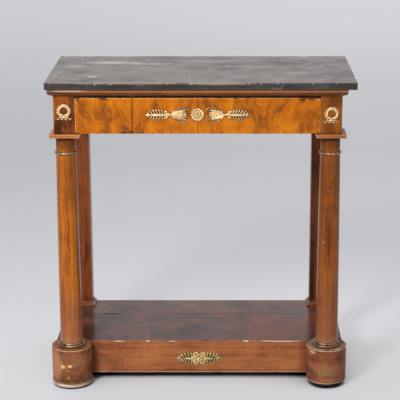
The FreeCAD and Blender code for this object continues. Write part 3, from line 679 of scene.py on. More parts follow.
slab = {
    "arris": 1.7 * mm, "corner": 3.0 * mm, "spacing": 2.6 * mm, "seed": 4.0,
    "wear": {"scale": 46, "rare": 0.22, "steep": 4.0, "deep": 1.9 * mm, "drop": 0.7,
             "uneven": 0.12 * mm, "unevenScale": 60},
    # (share of the height, share of the chips) up the side
    "side": ((0.22, 0), (0.42, 0), (0.6, 0.15), (0.74, 0.45), (0.85, 0.85)),
    # (inset, share of the chips) in over the top
    "brow": ((3.2 * mm, 0.45), (5.4 * mm, 0), (12 * mm, 0)),
    "stone": (0.042, 0.031, 0.024, 1), "deepStone": (0.013, 0.010, 0.008, 1),
    "tan": (0.230, 0.165, 0.120, 1), "plum": (0.085, 0.052, 0.060, 1),
    "green": (0.050, 0.060, 0.040, 1), "vein": (0.400, 0.340, 0.300, 1),
    "rub": (0.270, 0.222, 0.195, 1), "veil": (0.500, 0.430, 0.390, 1),
    # shade is the colour of the painted shade on the front
    "shade": (0.016, 0.013, 0.010, 1), "brown": (0.300, 0.210, 0.150, 1),
    "veins": ((5.0, 0.010, 0.55), (13.0, 0.012, 0.35)),  # scale, width, strength
    # pale veils on the top: (across, back), (half length, half width), strength
    "veils": (((-250, 96), (120, 26), 0.65), ((-345, 40), (60, 30), 0.4), ((-130, 80), (110, 20), 0.45),
              ((-255, 118), (60, 9), 0.5), ((-282, -118), (20, 12), 1.7), ((-300, -90), (60, 20), 0.3),
              ((30, 120), (150, 16), 0.3), ((120, 40), (130, 20), 0.22), ((250, -60), (90, 20), 0.22)),
    "veilLook": {"Ragged": 1.5, "Solid": 0.0, "Scale": 26.0},
    # marks on the front: (across, up), (half length, half height), colour, strength
    # the dark shade band over the left and middle of the front is painted shade, darker where less light
    # falls
    "marks": (((-120, 846), (330, 9), "shade", 0.55), ((-170, 857), (240, 4.2), "brown", 0.72),
              ((60, 856.5), (120, 5.0), "brown", 0.95), ((200, 857), (90, 4.0), "plum", 0.70),
              ((290, 855), (70, 5.0), "green", 0.55)),
    "markLook": {"Ragged": 0.9, "Solid": 0.4, "Scale": 60.0},
    "gloss": (0.20, 0.42),
}


def stoneColor(tree, place):
    # clouds, tinted patches, thin veins, drawn-out bands and specks
    bend = grainNoise(tree, place, 7.0, 5, 0.6)["Color"]
    bent = vectorCalc(tree, "ADD", place, centred(tree, bend, 0.12))
    cloud = grainNoise(tree, vectorCalc(tree, "MULTIPLY", bent, (4.0, 17.0, 17.0)), 1.0, 7, 0.62, 0.4)[0]
    color = tint(tree, ease(tree, cloud, 0.30, 0.66), slab["deepStone"], slab["stone"])
    plum = grainNoise(tree, bent, 9.0, 3)[0]
    color = tint(tree, times(tree, ease(tree, plum, 0.52, 0.72), 0.7), color, slab["plum"])
    green = grainNoise(tree, vectorCalc(tree, "ADD", bent, (3, 1, 0)), 12.0, 3)[0]
    color = tint(tree, times(tree, ease(tree, green, 0.55, 0.75), 0.6), color, slab["green"])
    long = vectorCalc(tree, "MULTIPLY", bent, (0.45, 1.0, 1.0))
    fade = ease(tree, grainNoise(tree, place, 6.0, 3)[0], 0.45, 0.68)
    for scale, width, strength in slab["veins"]:
        cells = addNode(tree, "ShaderNodeTexVoronoi", {"Vector": long, "Scale": scale},
                        feature="DISTANCE_TO_EDGE").outputs[0]
        line = times(tree, flipped(tree, ease(tree, cells, 0.0, width)), fade)
        color = tint(tree, times(tree, line, strength), color, slab["vein"])
    ribbon = grainNoise(tree, vectorCalc(tree, "MULTIPLY", bent, (1.3, 16.0, 16.0)), 1.0, 5, 0.6, 0.7)[0]
    color = tint(tree, times(tree, ease(tree, ribbon, 0.56, 0.74), 0.35), color, slab["tan"])
    specks = grainNoise(tree, place, 420.0, 2, 0.7)[0]
    return tint(tree, times(tree, ease(tree, specks, 0.60, 0.75), 0.22), color, slab["vein"])


def slabMarks():
    low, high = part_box("marble_top")
    veils = [((across, back, high.z / mm), (long, wide, 4), slab["veil"],
              {**slab["veilLook"], "Amount": amount})
             for (across, back), (long, wide), amount in slab["veils"]]
    marks = [((across, low.y / mm, up), (long, 6, tall), slab[color],
              {**slab["markLook"], "Amount": amount})
             for (across, up), (long, tall), color, amount in slab["marks"]]
    return veils + marks


def marbleMaterial():
    material, tree, shader = newMaterial("greyMarble")
    place = objectPlace(tree)
    rubbed = useGroup(tree, dustGroup, {"Amount": 0.56, "Scale": 7.0})["Mask"]
    color = tint(tree, rubbed, stoneColor(tree, place), slab["rub"])
    color = markColor(tree, color, slabMarks())[0]
    wear = useGroup(tree, edgeGroup, {"Reach": 2.6 * mm, "Amount": 0.62, "Scale": 70.0})["Mask"]
    color = tint(tree, times(tree, wear, 0.75), color, slab["tan"])
    nick = useGroup(tree, nickGroup, {"Scale": 16.0, "Share": 0.06, "Reach": 0.08})["Mask"]
    color = tint(tree, times(tree, nick, 0.35), color, slab["vein"])
    low, high = slab["gloss"]
    hand = useGroup(tree, handlingGroup, {"Low": low, "High": high})
    rough = calc(tree, "ADD", hand["Roughness"], times(tree, wear, 0.25), clamp=True)
    linkSockets(tree, shader, color, rough)
    ripple = times(tree, grainNoise(tree, place, 26.0, 4)[0], 0.5)
    height = calc(tree, "SUBTRACT", ripple, times(tree, hand["Scratch"], 0.2))
    giveBump(tree, shader, calc(tree, "SUBTRACT", height, nick), 0.25 * mm)
    return material


def buildSlab():
    low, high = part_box("marble_top")
    arris = slab["arris"]
    levels = [(3.0 * mm, low.z, 0), (0.4 * mm, low.z, 0), (0.0, low.z + 0.4 * mm, 0)]
    levels += [(0.0, low.z + (high.z - low.z) * share, chips) for share, chips in slab["side"]]
    for step in range(4):
        turn = math.radians(30 * step)
        levels.append((arris * (1 - math.cos(turn)), high.z - arris * (1 - math.sin(turn)), 1.0))
    levels += [(inset, high.z, chips) for inset, chips in slab["brow"]]
    rings = slabRings(low, high, levels, slab["corner"], slab["spacing"], slab["wear"], slab["seed"])
    points, faces = skin(rings)
    closeTop(points, faces, len(rings[0]), (high.y - low.y) / 2)
    piece = meshPiece("marbleSlab", points, faces, "table", marbleMaterial())
    mergeClose(piece, 0.05 * mm)
    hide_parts("marble_top")


buildSlab()
print("marble slab made")


# columns, rings, drums and feet

lacquer = {"gloss": (0.22, 0.38), "polish": 0.9, "coatIor": 1.25, "coatGloss": 0.06, "shine": 0.08}
post = {
    "Left": {**redWood, **lacquer, "along": "z", "pale": (0.530, 0.162, 0.005, 1),
             "mid": (0.400, 0.104, 0.004, 1), "dark": (0.170, 0.038, 0.003, 1), "shift": (0.11, 0, 0),
             "streaks": 1.25, "nicks": 0.14},
    "Right": {**redWood, **lacquer, "along": "z", "pale": (0.350, 0.100, 0.009, 1),
              "mid": (0.235, 0.058, 0.006, 1), "dark": (0.090, 0.021, 0.003, 1), "shift": (2.31, 0, 0),
              "streaks": 1.15, "nicks": 0.10},
}
ringBrass = {
    "clean": (0.480, 0.300, 0.170, 1), "bright": (0.780, 0.570, 0.390, 1),
    "tarnish": (0.180, 0.100, 0.055, 1),
    "gloss": (0.30, 0.46), "metal": 0.75,
    "dirtAndShade": {"Reach": 3 * mm, "Amount": 0.7, "Start": 0.3, "Full": 0.7},
}
postMarks = {
    "looks": {"chip": {"Ragged": 0.5, "Solid": 0.6, "Amount": 0.9, "Scale": 300.0},
              "dull": {"Ragged": 0.7, "Solid": 0.0, "Amount": 0.60, "Scale": 9.0},
              "dim": {"Ragged": 0.7, "Solid": 0.0, "Amount": 0.50, "Scale": 9.0},
              "neck": {"Ragged": 0.9, "Solid": 0.5, "Amount": 0.78, "Scale": 20.0},
              "shade": {"Ragged": 0.25, "Solid": 0.2, "Amount": 0.95, "Scale": 20.0},
              "foot": {"Ragged": 0.5, "Solid": 0.1, "Amount": 0.55, "Scale": 30.0}},
    # bare chips on the front: (across, up), (half width, half height)
    "bare": (0.620, 0.360, 0.170, 1),
    "Left": (((-12, 548), (1.5, 2.4)), ((-12, 526), (2.2, 1.6)), ((3, 382), (1.4, 2.0)),
             ((-1, 315), (1.3, 2.6)), ((9, 214), (1.2, 1.6))),
    "Right": (((-15, 416), (1.6, 3.0)), ((-9, 394), (1.2, 1.4)), ((7, 236), (1.4, 1.2)),
              ((-3, 560), (1.0, 1.8))),
    # bands right round the shaft, from the floor; the lower, greyer band on each is dull lacquer with a
    # painted greyish reflection
    "bandsLeft": (((0, 0, 130), (120, 120, 200), (0.400, 0.155, 0.075, 1), "dull"),
                  ((0, 0, 620), (120, 120, 200), (0.300, 0.085, 0.010, 1), "dim")),
    "bandsRight": (((0, 0, 170), (120, 120, 240), (0.270, 0.100, 0.056, 1), "dim"),
                   ((0, 0, 630), (120, 120, 140), (0.200, 0.055, 0.010, 1), "dim")),
    # and from the plate above, where both dark bands are painted shade under the plate, and from the drum
    # below, where the pale band is dust with a painted highlight
    "head": (((0, 0, 0), (120, 120, 46), (0.120, 0.034, 0.006, 1), "neck"),
             ((0, 0, 0), (120, 120, 14), (0.012, 0.005, 0.002, 1), "shade")),
    "foot": (((0, 0, 0), (120, 120, 42), (0.420, 0.235, 0.130, 1), "foot"),),
}
dullDrum = {**redWood, "along": "x", "coarse": 0.4, "streaks": 0.75, "patches": 1.6, "pores": 0.2,
            "gloss": (0.42, 0.62), "polish": 0.08, "wear": 0.62, "wearReach": 2.2}
drumWood = {
    "Left": {**dullDrum, "pale": (0.330, 0.120, 0.050, 1), "mid": (0.255, 0.088, 0.036, 1),
             "dark": (0.120, 0.040, 0.016, 1), "shift": (0.7, 0, 0), "nicks": 0.16},
    "Right": {**dullDrum, "pale": (0.350, 0.116, 0.056, 1), "mid": (0.260, 0.077, 0.035, 1),
              "dark": (0.120, 0.038, 0.018, 1), "shift": (1.9, 0, 0), "nicks": 0.14, "wear": 0.34,
              "patches": 1.1},
}
barePale = (0.780, 0.430, 0.150, 1)
oldOlive = (0.230, 0.160, 0.065, 1)
bitWood = (0.46, 0.30, 0.19, 1)
drumMarks = {
    "looks": {"faint": {"Ragged": 1.6, "Solid": 0.1, "Amount": 0.6, "Scale": 90.0},
              "thin": {"Ragged": 2.6, "Solid": 0.0, "Amount": 0.42, "Scale": 60.0},
              "worn": {"Ragged": 2.6, "Solid": 0.0, "Amount": 0.75, "Scale": 60.0},
              "small": {"Ragged": 0.9, "Solid": 0.6, "Amount": 0.9},
              "litSide": {"Ragged": 1.0, "Solid": 0.4, "Amount": 0.85, "Scale": 50.0},
              "dull": {"Ragged": 1.0, "Solid": 0.6, "Amount": 0.75, "Scale": 60.0},
              "bitten": {"Ragged": 1.2, "Solid": 0.5, "Amount": 0.9, "Scale": 110.0},
              "rim": {"Ragged": 0.9, "Solid": 0.5, "Amount": 0.85, "Scale": 60.0},
              "brokenRim": {"Ragged": 1.5, "Solid": 0.5, "Amount": 0.85, "Scale": 90.0}},
    # from the middle of the top
    "topLeft": (((0, 0, -2.4), (220, 220, 1.9), (0.58, 0.30, 0.12, 1), "rim"),),
    "topRight": (((0, 0, -2.4), (220, 220, 1.9), (0.50, 0.35, 0.22, 1), "brokenRim"),
                 ((-50, -24, -1), (14, 12, 3.6), bitWood, "bitten"),
                 ((-36, -42, -1), (6, 12, 3.6), bitWood, "bitten"),
                 ((-16, -53, -1), (11, 12, 3.6), bitWood, "bitten"),
                 ((8, -55, -1), (4, 12, 3.6), bitWood, "bitten"),
                 ((30, -46, -1), (15, 12, 3.6), bitWood, "bitten"),
                 ((52, -18, -1), (6, 12, 3.6), bitWood, "bitten"),
                 ((-6, -4, 0), (62, 60, 1.2), (0.270, 0.175, 0.110, 1), "dull")),
    # from the middle of the foot
    "footLeft": (((0, 0, 1.4), (220, 220, 2.6), (0.40, 0.22, 0.10, 1), "rim"),),
    "footRight": (((0, 0, 1.4), (220, 220, 2.6), (0.62, 0.44, 0.30, 1), "rim"),),
    # from the foot of the front
    # the pale broad patch on the drum's left is painted light, lifting the side the lamp leaves dimmer
    "frontLeft": (((-42, 16, 55), (26, 50, 60), (0.460, 0.195, 0.095, 1), "litSide"),
                  ((16, 0, 62), (34, 50, 16), oldOlive, "thin"),
                  ((24, 0, 52), (14, 30, 4), oldOlive, "thin"),
                  ((-21, 5, 51), (7.8, 30, 7.2), barePale, "small"),
                  ((-1, 0, 54), (8.6, 30, 5.6), barePale, "small"),
                  ((-8, 0, 40), (7.5, 30, 3.0), (0.48, 0.23, 0.10, 1), "faint"),
                  ((-6, 0, 20), (3.0, 30, 5.5), (0.46, 0.22, 0.11, 1), "small")),
    "frontRight": (((2, 0, 40), (52, 50, 28), oldOlive, "worn"),
                   ((10, 0, 12), (40, 50, 8), (0.34, 0.16, 0.07, 1), "faint"),
                   ((-28, 0, 36), (2.0, 30, 13), (0.36, 0.24, 0.14, 1), "faint"),
                   ((-35, 0, 32), (2.2, 30, 13), (0.34, 0.22, 0.13, 1), "faint"),
                   ((-6, 0, 30), (5.5, 30, 4.5), (0.46, 0.29, 0.09, 1), "faint"),
                   ((-40, 20, 89), (9, 30, 5), (0.56, 0.36, 0.22, 1), "small"),
                   ((-30, 20, 76), (6, 30, 4), (0.42, 0.26, 0.15, 1), "faint"),
                   ((-12, 0, 36), (2.5, 30, 12), (0.36, 0.22, 0.12, 1), "faint"),
                   ((-20, 0, 34), (2.0, 30, 10), (0.36, 0.22, 0.12, 1), "faint")),
}
turning = {"steps": 160, "dentScale": 34, "core": 20 * mm}  # no dents within the core
drum = {"rounding": 2.5 * mm, "rows": 18, "fade": 14,  # how fast the chips die away from the rims
        "seed": {"Left": 2.0, "Right": 4.0},
        "wear": {"scale": 42, "rare": 0.18, "steep": 3.5, "deep": 1.6 * mm, "dent": 0.35 * mm}}
wornFoot = {"lost": 5.5 * mm, "rounding": 1.5 * mm, "seed": 8.0,
            "wear": {"scale": 46, "rare": 0.30, "steep": 3.0, "deep": 3.0 * mm, "dent": 0.5 * mm}}
footWood = {
    "Left": {"along": "x", "pale": (0.720, 0.590, 0.470, 1), "mid": (0.560, 0.420, 0.300, 1),
             "dark": (0.200, 0.105, 0.055, 1), "gloss": (0.5, 0.7), "polish": 0, "patches": 0.9,
             "coarse": 0.5, "wear": 0.7, "worn": (0.74, 0.62, 0.50, 1), "dust": 0.0},
    # the right foot is near black: dark wood with painted shadow under the drum; the pads and rear feet share
    # this finish
    "Right": {"along": "x", "pale": (0.060, 0.036, 0.022, 1), "mid": (0.022, 0.012, 0.008, 1),
              "dark": (0.008, 0.005, 0.004, 1), "gloss": (0.5, 0.7), "polish": 0, "patches": 1.3,
              "coarse": 0.5, "wear": 0.30, "worn": (0.42, 0.32, 0.22, 1), "shift": (3.3, 0, 0),
              "dust": 0.0},
}


def brassMaterial():
    material, tree, shader = newMaterial("ringBrass")
    place = objectPlace(tree)
    cloud = grainNoise(tree, place, 70.0, 5, 0.65, 0.5)[0]
    color = tint(tree, ease(tree, cloud, 0.35, 0.62), ringBrass["tarnish"], ringBrass["clean"])
    color = tint(tree, ease(tree, cloud, 0.60, 0.78), color, ringBrass["bright"])
    # dirt and painted shade in the ring's corners
    color = tint(tree, useGroup(tree, grimeAndShadeGroup, ringBrass["dirtAndShade"])["Mask"], color, dirtAndShadeColor)
    low, high = ringBrass["gloss"]
    hand = useGroup(tree, handlingGroup, {"Low": low, "High": high})
    linkSockets(tree, shader, color, hand["Roughness"])
    setSockets(shader, metal=ringBrass["metal"])
    giveBump(tree, shader, grainNoise(tree, place, 120.0, 3)[0], 0.35 * mm)
    return material


def turnedPiece(name, node, axis, profile, material, wear, seed):
    # profile is (radius, height, share of the chips), from the foot up
    rings = []
    steps = turning["steps"]
    for radius, height, share in profile:
        ring = []
        for step in range(steps):
            angle = 2 * math.pi * step / steps
            x, y = math.cos(angle), math.sin(angle)
            spot = (axis.x + x * radius, axis.y + y * radius, height)
            bite = chipDepth((spot[0], spot[1], height * 0.35), wear, seed) * share
            dent = wear["dent"] * (unevenness(spot, turning["dentScale"], seed) - 1)
            if radius <= turning["core"]:
                dent = 0
            reach = max(radius - bite + dent, 0.0)
            ring.append((axis.x + x * reach, axis.y + y * reach, height))
        rings.append(ring)
    points, faces = skin(rings)
    piece = meshPiece(name, points, faces, "table", material)
    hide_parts(node)


def axisOf(node):
    low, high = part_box(node)
    return (low + high) / 2


def drumProfile(low, high, rounding):
    radius = (high.x - low.x) / 2
    rise = high.z - low.z
    turns = [math.radians(22.5 * step) for step in range(5)]
    curve = [(rounding * (1 - math.sin(turn)), rounding * (1 - math.cos(turn))) for turn in turns]
    profile = [(radius * 0.55, low.z, 0), (radius - 2 * rounding, low.z, 0)]
    profile += [(radius - less, low.z + more, 1) for less, more in curve]
    rows = drum["rows"]
    for row in range(1, rows):
        share = row / rows
        edge = max(0.0, 1 - min(share, 1 - share) * drum["fade"])
        profile.append((radius, low.z + rounding + (rise - 2 * rounding) * share, edge))
    profile += [(radius - more, high.z - less, 1) for less, more in curve]
    profile += [(radius - 2 * rounding, high.z, 0), (radius * 0.55, high.z, 0)]
    return profile


def marksOfDrum(side, axis, low, high):
    looks = drumMarks["looks"]
    front = axis.y - (axis.x - low.x)
    return (marksFrom((axis.x, axis.y, high.z), drumMarks["top" + side], looks)
            + marksFrom((axis.x, axis.y, low.z), drumMarks["foot" + side], looks)
            + marksFrom((axis.x, front, low.z), drumMarks["front" + side], looks))


def marksOfPost(side, axis):
    looks = postMarks["looks"]
    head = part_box("abacus_left")[0].z
    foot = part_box("drum_left")[1].z
    chips = [((across, -28, up), (wide, 20, tall), postMarks["bare"], "chip")
             for (across, up), (wide, tall) in postMarks[side]]
    return (marksFrom((axis.x, axis.y, 0), postMarks["bands" + side], looks)
            + marksFrom((axis.x, axis.y, head), postMarks["head"], looks)
            + marksFrom((axis.x, axis.y, foot), postMarks["foot"], looks)
            + marksFrom((axis.x, axis.y, 0), chips, looks))


def buildDrum(side):
    node = "drum_" + side.lower()
    low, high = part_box(node)
    axis = axisOf(node)
    wood = woodMaterial("drum" + side + "Wood", drumWood[side], marksOfDrum(side, axis, low, high))
    turnedPiece("drum" + side, node, axis, drumProfile(low, high, drum["rounding"]), wood,
                drum["wear"], drum["seed"][side])


def buildWornFoot(material):
    # the right foot disc has lost its rim
    low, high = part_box("foot_disc_right")
    radius = (high.x - low.x) / 2 - wornFoot["lost"]
    turn = wornFoot["rounding"]
    profile = [(radius / 2, low.z, 0), (radius - 2 * turn, low.z, 0),
               (radius - turn, low.z + 0.4 * turn, 1), (radius, low.z + turn, 1),
               (radius, high.z - turn, 1), (radius - turn, high.z, 1), (radius / 2, high.z, 0)]
    turnedPiece("footRight", "foot_disc_right", axisOf("foot_disc_right"), profile, material,
                wornFoot["wear"], wornFoot["seed"])


def buildPosts():
    brass = brassMaterial()
    for side in sides:
        end = "_" + side.lower()
        marks = marksOfPost(side, axisOf("column" + end))
        dress(woodMaterial("column" + side, post[side], marks), "column" + end)
        dress(brass, "neck_ring" + end, "base_ring" + end)
        buildDrum(side)
    dress(woodMaterial("footLeftWood", footWood["Left"]), "foot_disc_left")
    buildWornFoot(woodMaterial("footRightWood", footWood["Right"]))
    dress(woodMaterial("padWood", footWood["Right"]), "foot_pads")
    dress(woodMaterial("dowelWood", {**bareWood, "along": "y"}), "drum_dowels")


buildPosts()
print("posts and drums made")


# sheets of veneer with ragged edges

leafEdge = {
    "margin": 1.4 * mm, "rows": 8, "bulgeScale": 26,
    "uneven": 0.30 * mm, "unevenScale": 260, "tornScale": 420,
}


def lostAt(place, losses, seed):
    # how much of an edge is missing at a place along it, in metres
    lost = leafEdge["uneven"] * max(0.0, unevenness((place, 0, 0), leafEdge["unevenScale"], seed))
    for start, end, deep in losses:
        share = (place / mm - start) / (end - start)
        if 0 < share < 1:
            torn = 0.7 + 0.6 * unevenness((place, 0, 0), leafEdge["tornScale"], seed)
            lost = max(lost, deep * mm * min(1.0, 5 * share, 5 * (1 - share)) * torn)
    return lost


def leafRings(start, end, low, high, look):
    # one sheet of veneer as upright loops, each from its back foot over the face to its back top
    arris = look["arris"]
    bulge = look["bulge"]
    seed = look["seed"]
    margin = leafEdge["margin"]
    count = max(2, int((end - start) / look["column"]))
    rings = []
    for step in range(count + 1):
        x = start + (end - start) * step / count
        foot = low.z + lostAt(x, look["lostBelow"], seed)
        top = high.z - lostAt(x, look["lostAbove"], seed + 9)
        ring = [(x, high.y, foot), (x, low.y + arris, foot), (x, low.y + bulge, foot + arris)]
        for row in range(leafEdge["rows"] + 1):
            z = foot + margin + (top - foot - 2 * margin) * row / leafEdge["rows"]
            ring.append((x, low.y + bulge * (1 + unevenness((x, 0, z), leafEdge["bulgeScale"], seed)) / 2, z))
        ring += [(x, low.y + bulge, top - arris), (x, low.y + arris, top), (x, high.y, top)]
        rings.append(ring)
    return rings


# square plates, pilasters and platform

plate = {**redWood, "along": "x", "pale": (0.660, 0.230, 0.042, 1), "mid": (0.500, 0.150, 0.024, 1),
         "dark": (0.180, 0.048, 0.010, 1), "wear": 0.74, "wearReach": 2.4, "worn": (0.76, 0.52, 0.36, 1)}
darkPlate = {**plate, "pale": (0.480, 0.160, 0.030, 1), "mid": (0.340, 0.102, 0.018, 1), "wear": 0.64,
             "worn": (0.66, 0.42, 0.27, 1), "shift": (1.3, 0, 0)}
pilasterWood = {
    "Left": {**redWood, "along": "z", "pale": (0.270, 0.075, 0.018, 1), "mid": (0.190, 0.048, 0.012, 1),
             "dark": (0.060, 0.014, 0.005, 1), "shift": (0.9, 0, 0), "gloss": (0.3, 0.46)},
    "Right": {**redWood, "along": "z", "pale": (0.200, 0.052, 0.014, 1), "mid": (0.130, 0.032, 0.009, 1),
              "dark": (0.045, 0.011, 0.004, 1), "shift": (4.9, 0, 0), "gloss": (0.3, 0.46)},
}
platformWood = {
    "front": {**redWood, "along": "x", "pale": (0.435, 0.152, 0.053, 1), "mid": (0.340, 0.107, 0.035, 1),
              "dark": (0.210, 0.062, 0.022, 1), "gloss": (0.36, 0.54), "polish": 0.12, "wear": 0.58,
              "worn": (0.60, 0.38, 0.24, 1), "patches": 0.95, "streaks": 0.85, "nicks": 0.12,
              "wearReach": 2.0},
    "top": {**redWood, **lacquer, "along": "x", "pale": (0.170, 0.046, 0.021, 1),
            "mid": (0.092, 0.024, 0.011, 1), "dark": (0.036, 0.010, 0.005, 1), "coatIor": 1.28,
            "coatGloss": 0.12, "dust": 0.08, "patches": 1.2, "wear": 0.55},
    "side": {**redWood, "along": "y", "pale": (0.330, 0.115, 0.048, 1), "mid": (0.240, 0.076, 0.030, 1)},
}


def buildPlates():
    dress(woodMaterial("plateLeftWood", plate), "abacus_left", "pilaster_cap_left")
    dress(woodMaterial("plateRightWood", darkPlate), "abacus_right", "pilaster_cap_right")
    for side in sides:
        end = "_" + side.lower()
        dress(woodMaterial("pilaster" + side, pilasterWood[side]), "pilaster" + end)
        dress(woodMaterial("pilasterBase" + side, {**pilasterWood[side], "along": "x", "wear": 0.66}),
              "pilaster_base" + end)
        easeEdges(0.8, "pilaster" + end)
        easeEdges(0.6, "abacus" + end, "pilaster_cap" + end, "pilaster_base" + end)


platformLeaf = {
    "column": 2.0 * mm, "arris": 0.4 * mm, "bulge": 0.08 * mm, "inset": 0.7 * mm, "seed": 11.0,
    "lostAbove": ((-243, -196, 1.3), (-160, -148, 0.8), (-86, -58, 1.9), (2, 35, 1.4), (70, 78, 0.8),
                  (156, 178, 1.1), (181, 284, 1.5)),
    "lostBelow": ((-260, -236, 1.0), (-120, -104, 0.8), (40, 64, 1.0), (210, 226, 1.2)),
}
platformMarks = {
    "looks": {"foot": {"Ragged": 0.8, "Solid": 0.4, "Amount": 0.8, "Scale": 40.0},
              "brow": {"Ragged": 0.8, "Solid": 0.6, "Amount": 1.0, "Scale": 40.0},
              "nick": {"Ragged": 0.6, "Solid": 0.6, "Amount": 0.9},
              "stain": {"Ragged": 0.8, "Solid": 0.5, "Amount": 0.85},
              "shadowByDrum": {"Ragged": 0.4, "Solid": 0.0, "Amount": 0.55},
              "wing": {"Ragged": 0.3, "Solid": 0.55, "Amount": 0.95},
              "flower": {"Ragged": 0.3, "Solid": 0.6, "Amount": 0.95},
              "seam": {"Ragged": 0.3, "Solid": 0.7, "Amount": 0.6},
              "openSeam": {"Ragged": 0.3, "Solid": 0.7, "Amount": 1.0},
              "reddishPatchAndSheen": {"Ragged": 1.4, "Solid": 0.1, "Amount": 0.7, "Scale": 14.0}},
    # from the foot of the front's middle
    "foot": (((0, 0, 0.4), (900, 100, 2.6), (0.640, 0.440, 0.320, 1), "foot"),),
    # lengths of the front's top edge that are bare: (start, end)
    "brows": ((-243, -202), (-150, -138), (-90, -58), (120, 140), (160, 290)),
    "brow": (0.860, 0.660, 0.500, 1),
    # dark clouds on the front: (across, up), (half length, half height), strength
    "clouds": (((-60, 92), (46, 7), 0.5), ((12, 90), (52, 10), 0.6), ((-250, 50), (30, 22), 0.5),
               ((150, 45), (60, 14), 0.5), ((230, 80), (44, 18), 0.4)),
    "cloud": (0.250, 0.118, 0.042, 1),
    "nicks": ((223, 92), (135, 100), (-118, 84), (64, 40), (-205, 36), (176, 30)),
    "nick": (0.600, 0.390, 0.260, 1),
    # from the top of the front's middle
    "top": (((18, 0, 0), (17, 20, 2.2), (0.050, 0.018, 0.010, 1), "stain"),),
    # painted shade, with dirt gathered there, round the mount, from its middle
    "mount": (((-35, 0, 0), (30, 100, 18), (0.028, 0.013, 0.005, 1), "wing"),
              ((35, 0, 0), (30, 100, 18), (0.028, 0.013, 0.005, 1), "wing"),
              ((0, 0, 0), (23, 100, 22), (0.030, 0.014, 0.005, 1), "flower")),
    "end": (0.110, 0.036, 0.016, 1),  # painted shadow beside the drums
    # over the boards, from the joint between them; the last, a paler reddish zone on the right, is a real
    # patch with painted reflection
    "boards": (((-262, 0, 20), (36, 5.0, 60), (0.004, 0.002, 0.002, 1), "openSeam"),
               ((20, 0, 20), (330, 3.4, 60), (0.010, 0.004, 0.003, 1), "seam"),
               ((215, -136, 20), (170, 180, 60), (0.260, 0.095, 0.055, 1), "reddishPatchAndSheen")),
}


def marksOfFront(low, high):
    looks = platformMarks["looks"]
    mount = axisOf("platform_mount")
    middle = (low.z + high.z) / 2
    brows = [(((start + end) / 2, 0, 0), ((end - start) / 2, 20, 3.6), platformMarks["brow"], "brow")
             for start, end in platformMarks["brows"]]
    clouds = [((across, low.y / mm, up), (long, 100, tall), platformMarks["cloud"],
               {"Ragged": 1.6, "Solid": 0.0, "Scale": 50.0, "Amount": amount})
              for (across, up), (long, tall), amount in platformMarks["clouds"]]
    nicks = [((across, 0, up), (2.0, 20, 1.8), platformMarks["nick"], "nick")
             for across, up in platformMarks["nicks"]]
    drumShadows = [((hand * high.x / mm, 0, 0), (36, 100, 200), platformMarks["end"], "shadowByDrum") for hand in (-1, 1)]
    return (marksFrom((0, low.y, low.z), platformMarks["foot"], looks)
            + marksFrom((0, low.y, high.z), brows, looks) + clouds
            + marksFrom((0, low.y, 0), nicks, looks)
            + marksFrom((0, low.y, high.z), platformMarks["top"], looks)
            + marksFrom((0, low.y, middle), drumShadows, looks)
            + marksFrom((0, low.y, mount.z), platformMarks["mount"], looks))


def buildPlatformLeaf():
    low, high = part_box("platform_veneer")
    reach = high.x - platformLeaf["inset"]
    points, faces = skin(leafRings(-reach, reach, low, high, platformLeaf))
    faces = [tuple(reversed(face)) for face in faces]
    wood = woodMaterial("platformFrontWood", platformWood["front"], marksOfFront(low, high))
    piece = meshPiece("platformLeaf", points, faces, "table", wood, 50)
    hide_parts("platform_veneer")


def buildPlatform():
    buildPlatformLeaf()
    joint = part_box("shelf_board_rear")[0]
    marks = marksFrom((0, joint.y, joint.z), platformMarks["boards"], platformMarks["looks"])
    dress(woodMaterial("platformTopWood", platformWood["top"], marks), "shelf_board_front",
          "shelf_board_rear")
    dress(woodMaterial("platformSideWood", platformWood["side"]), "platform_side_left",
          "platform_side_right")
    dress(woodMaterial("innerWood", {**bareWood, "along": "x", "shift": (5, 0, 0)}),
          "platform_front_board", "platform_blocks")
    dress(woodMaterial("rearFootWood", footWood["Right"]), "rear_foot_left", "rear_foot_right")
    easeEdges(0.8, "shelf_board_front", "shelf_board_rear", "platform_side_left",
              "platform_side_right", "platform_back_board", "rear_foot_left", "rear_foot_right")


buildPlates()
buildPlatform()
print("plates, pilasters and platform dressed")


# drawer

leaves = {
    "match": 173 * mm,  # width of a matched leaf
    "seams": (-324.0, -269.4, -173.1, 0.0, 173.0, 324.0),  # mm from the middle
    "gap": 0.12 * mm, "column": 1.5 * mm, "arris": 0.35 * mm, "bulge": 0.07 * mm, "seed": 3.0,
    # missing lengths of the edges: (start, end, depth) in mm
    "lostAbove": ((-326, -310, 3.2), (-263, -238, 1.0), (52, 63, 1.7), (129, 142, 2.1),
                  (268, 303, 1.6), (297, 326, 3.8)),
    "lostBelow": ((-196, -171, 1.3), (-186, -177, 2.6), (-4, 5, 1.6), (146, 168, 1.2),
                  (170, 197, 1.5), (296, 312, 2.0)),
}
veneer = {
    "gold": (0.640, 0.195, 0.002, 1), "orange": (0.500, 0.130, 0.002, 1),
    "brown": (0.225, 0.060, 0.004, 1), "umber": (0.075, 0.022, 0.004, 1),
    "mountShade": (0.130, 0.038, 0.004, 1),  # painted shade under and beside the mounts
    "rubbed": (0.780, 0.450, 0.200, 1), "bare": (0.640, 0.360, 0.180, 1), "worn": (0.720, 0.420, 0.180, 1),
    "slant": 19,
    "gloss": (0.22, 0.38), "shine": 0.12, "polish": 0.4, "coatIor": 1.25, "coatGloss": 0.12,
    # dirt and painted shade, reaching far enough to ring the mounts with dark halos
    "dirtAndShade": {"Reach": 5 * mm, "Amount": 0.92, "Start": 0.04, "Full": 0.34},
}
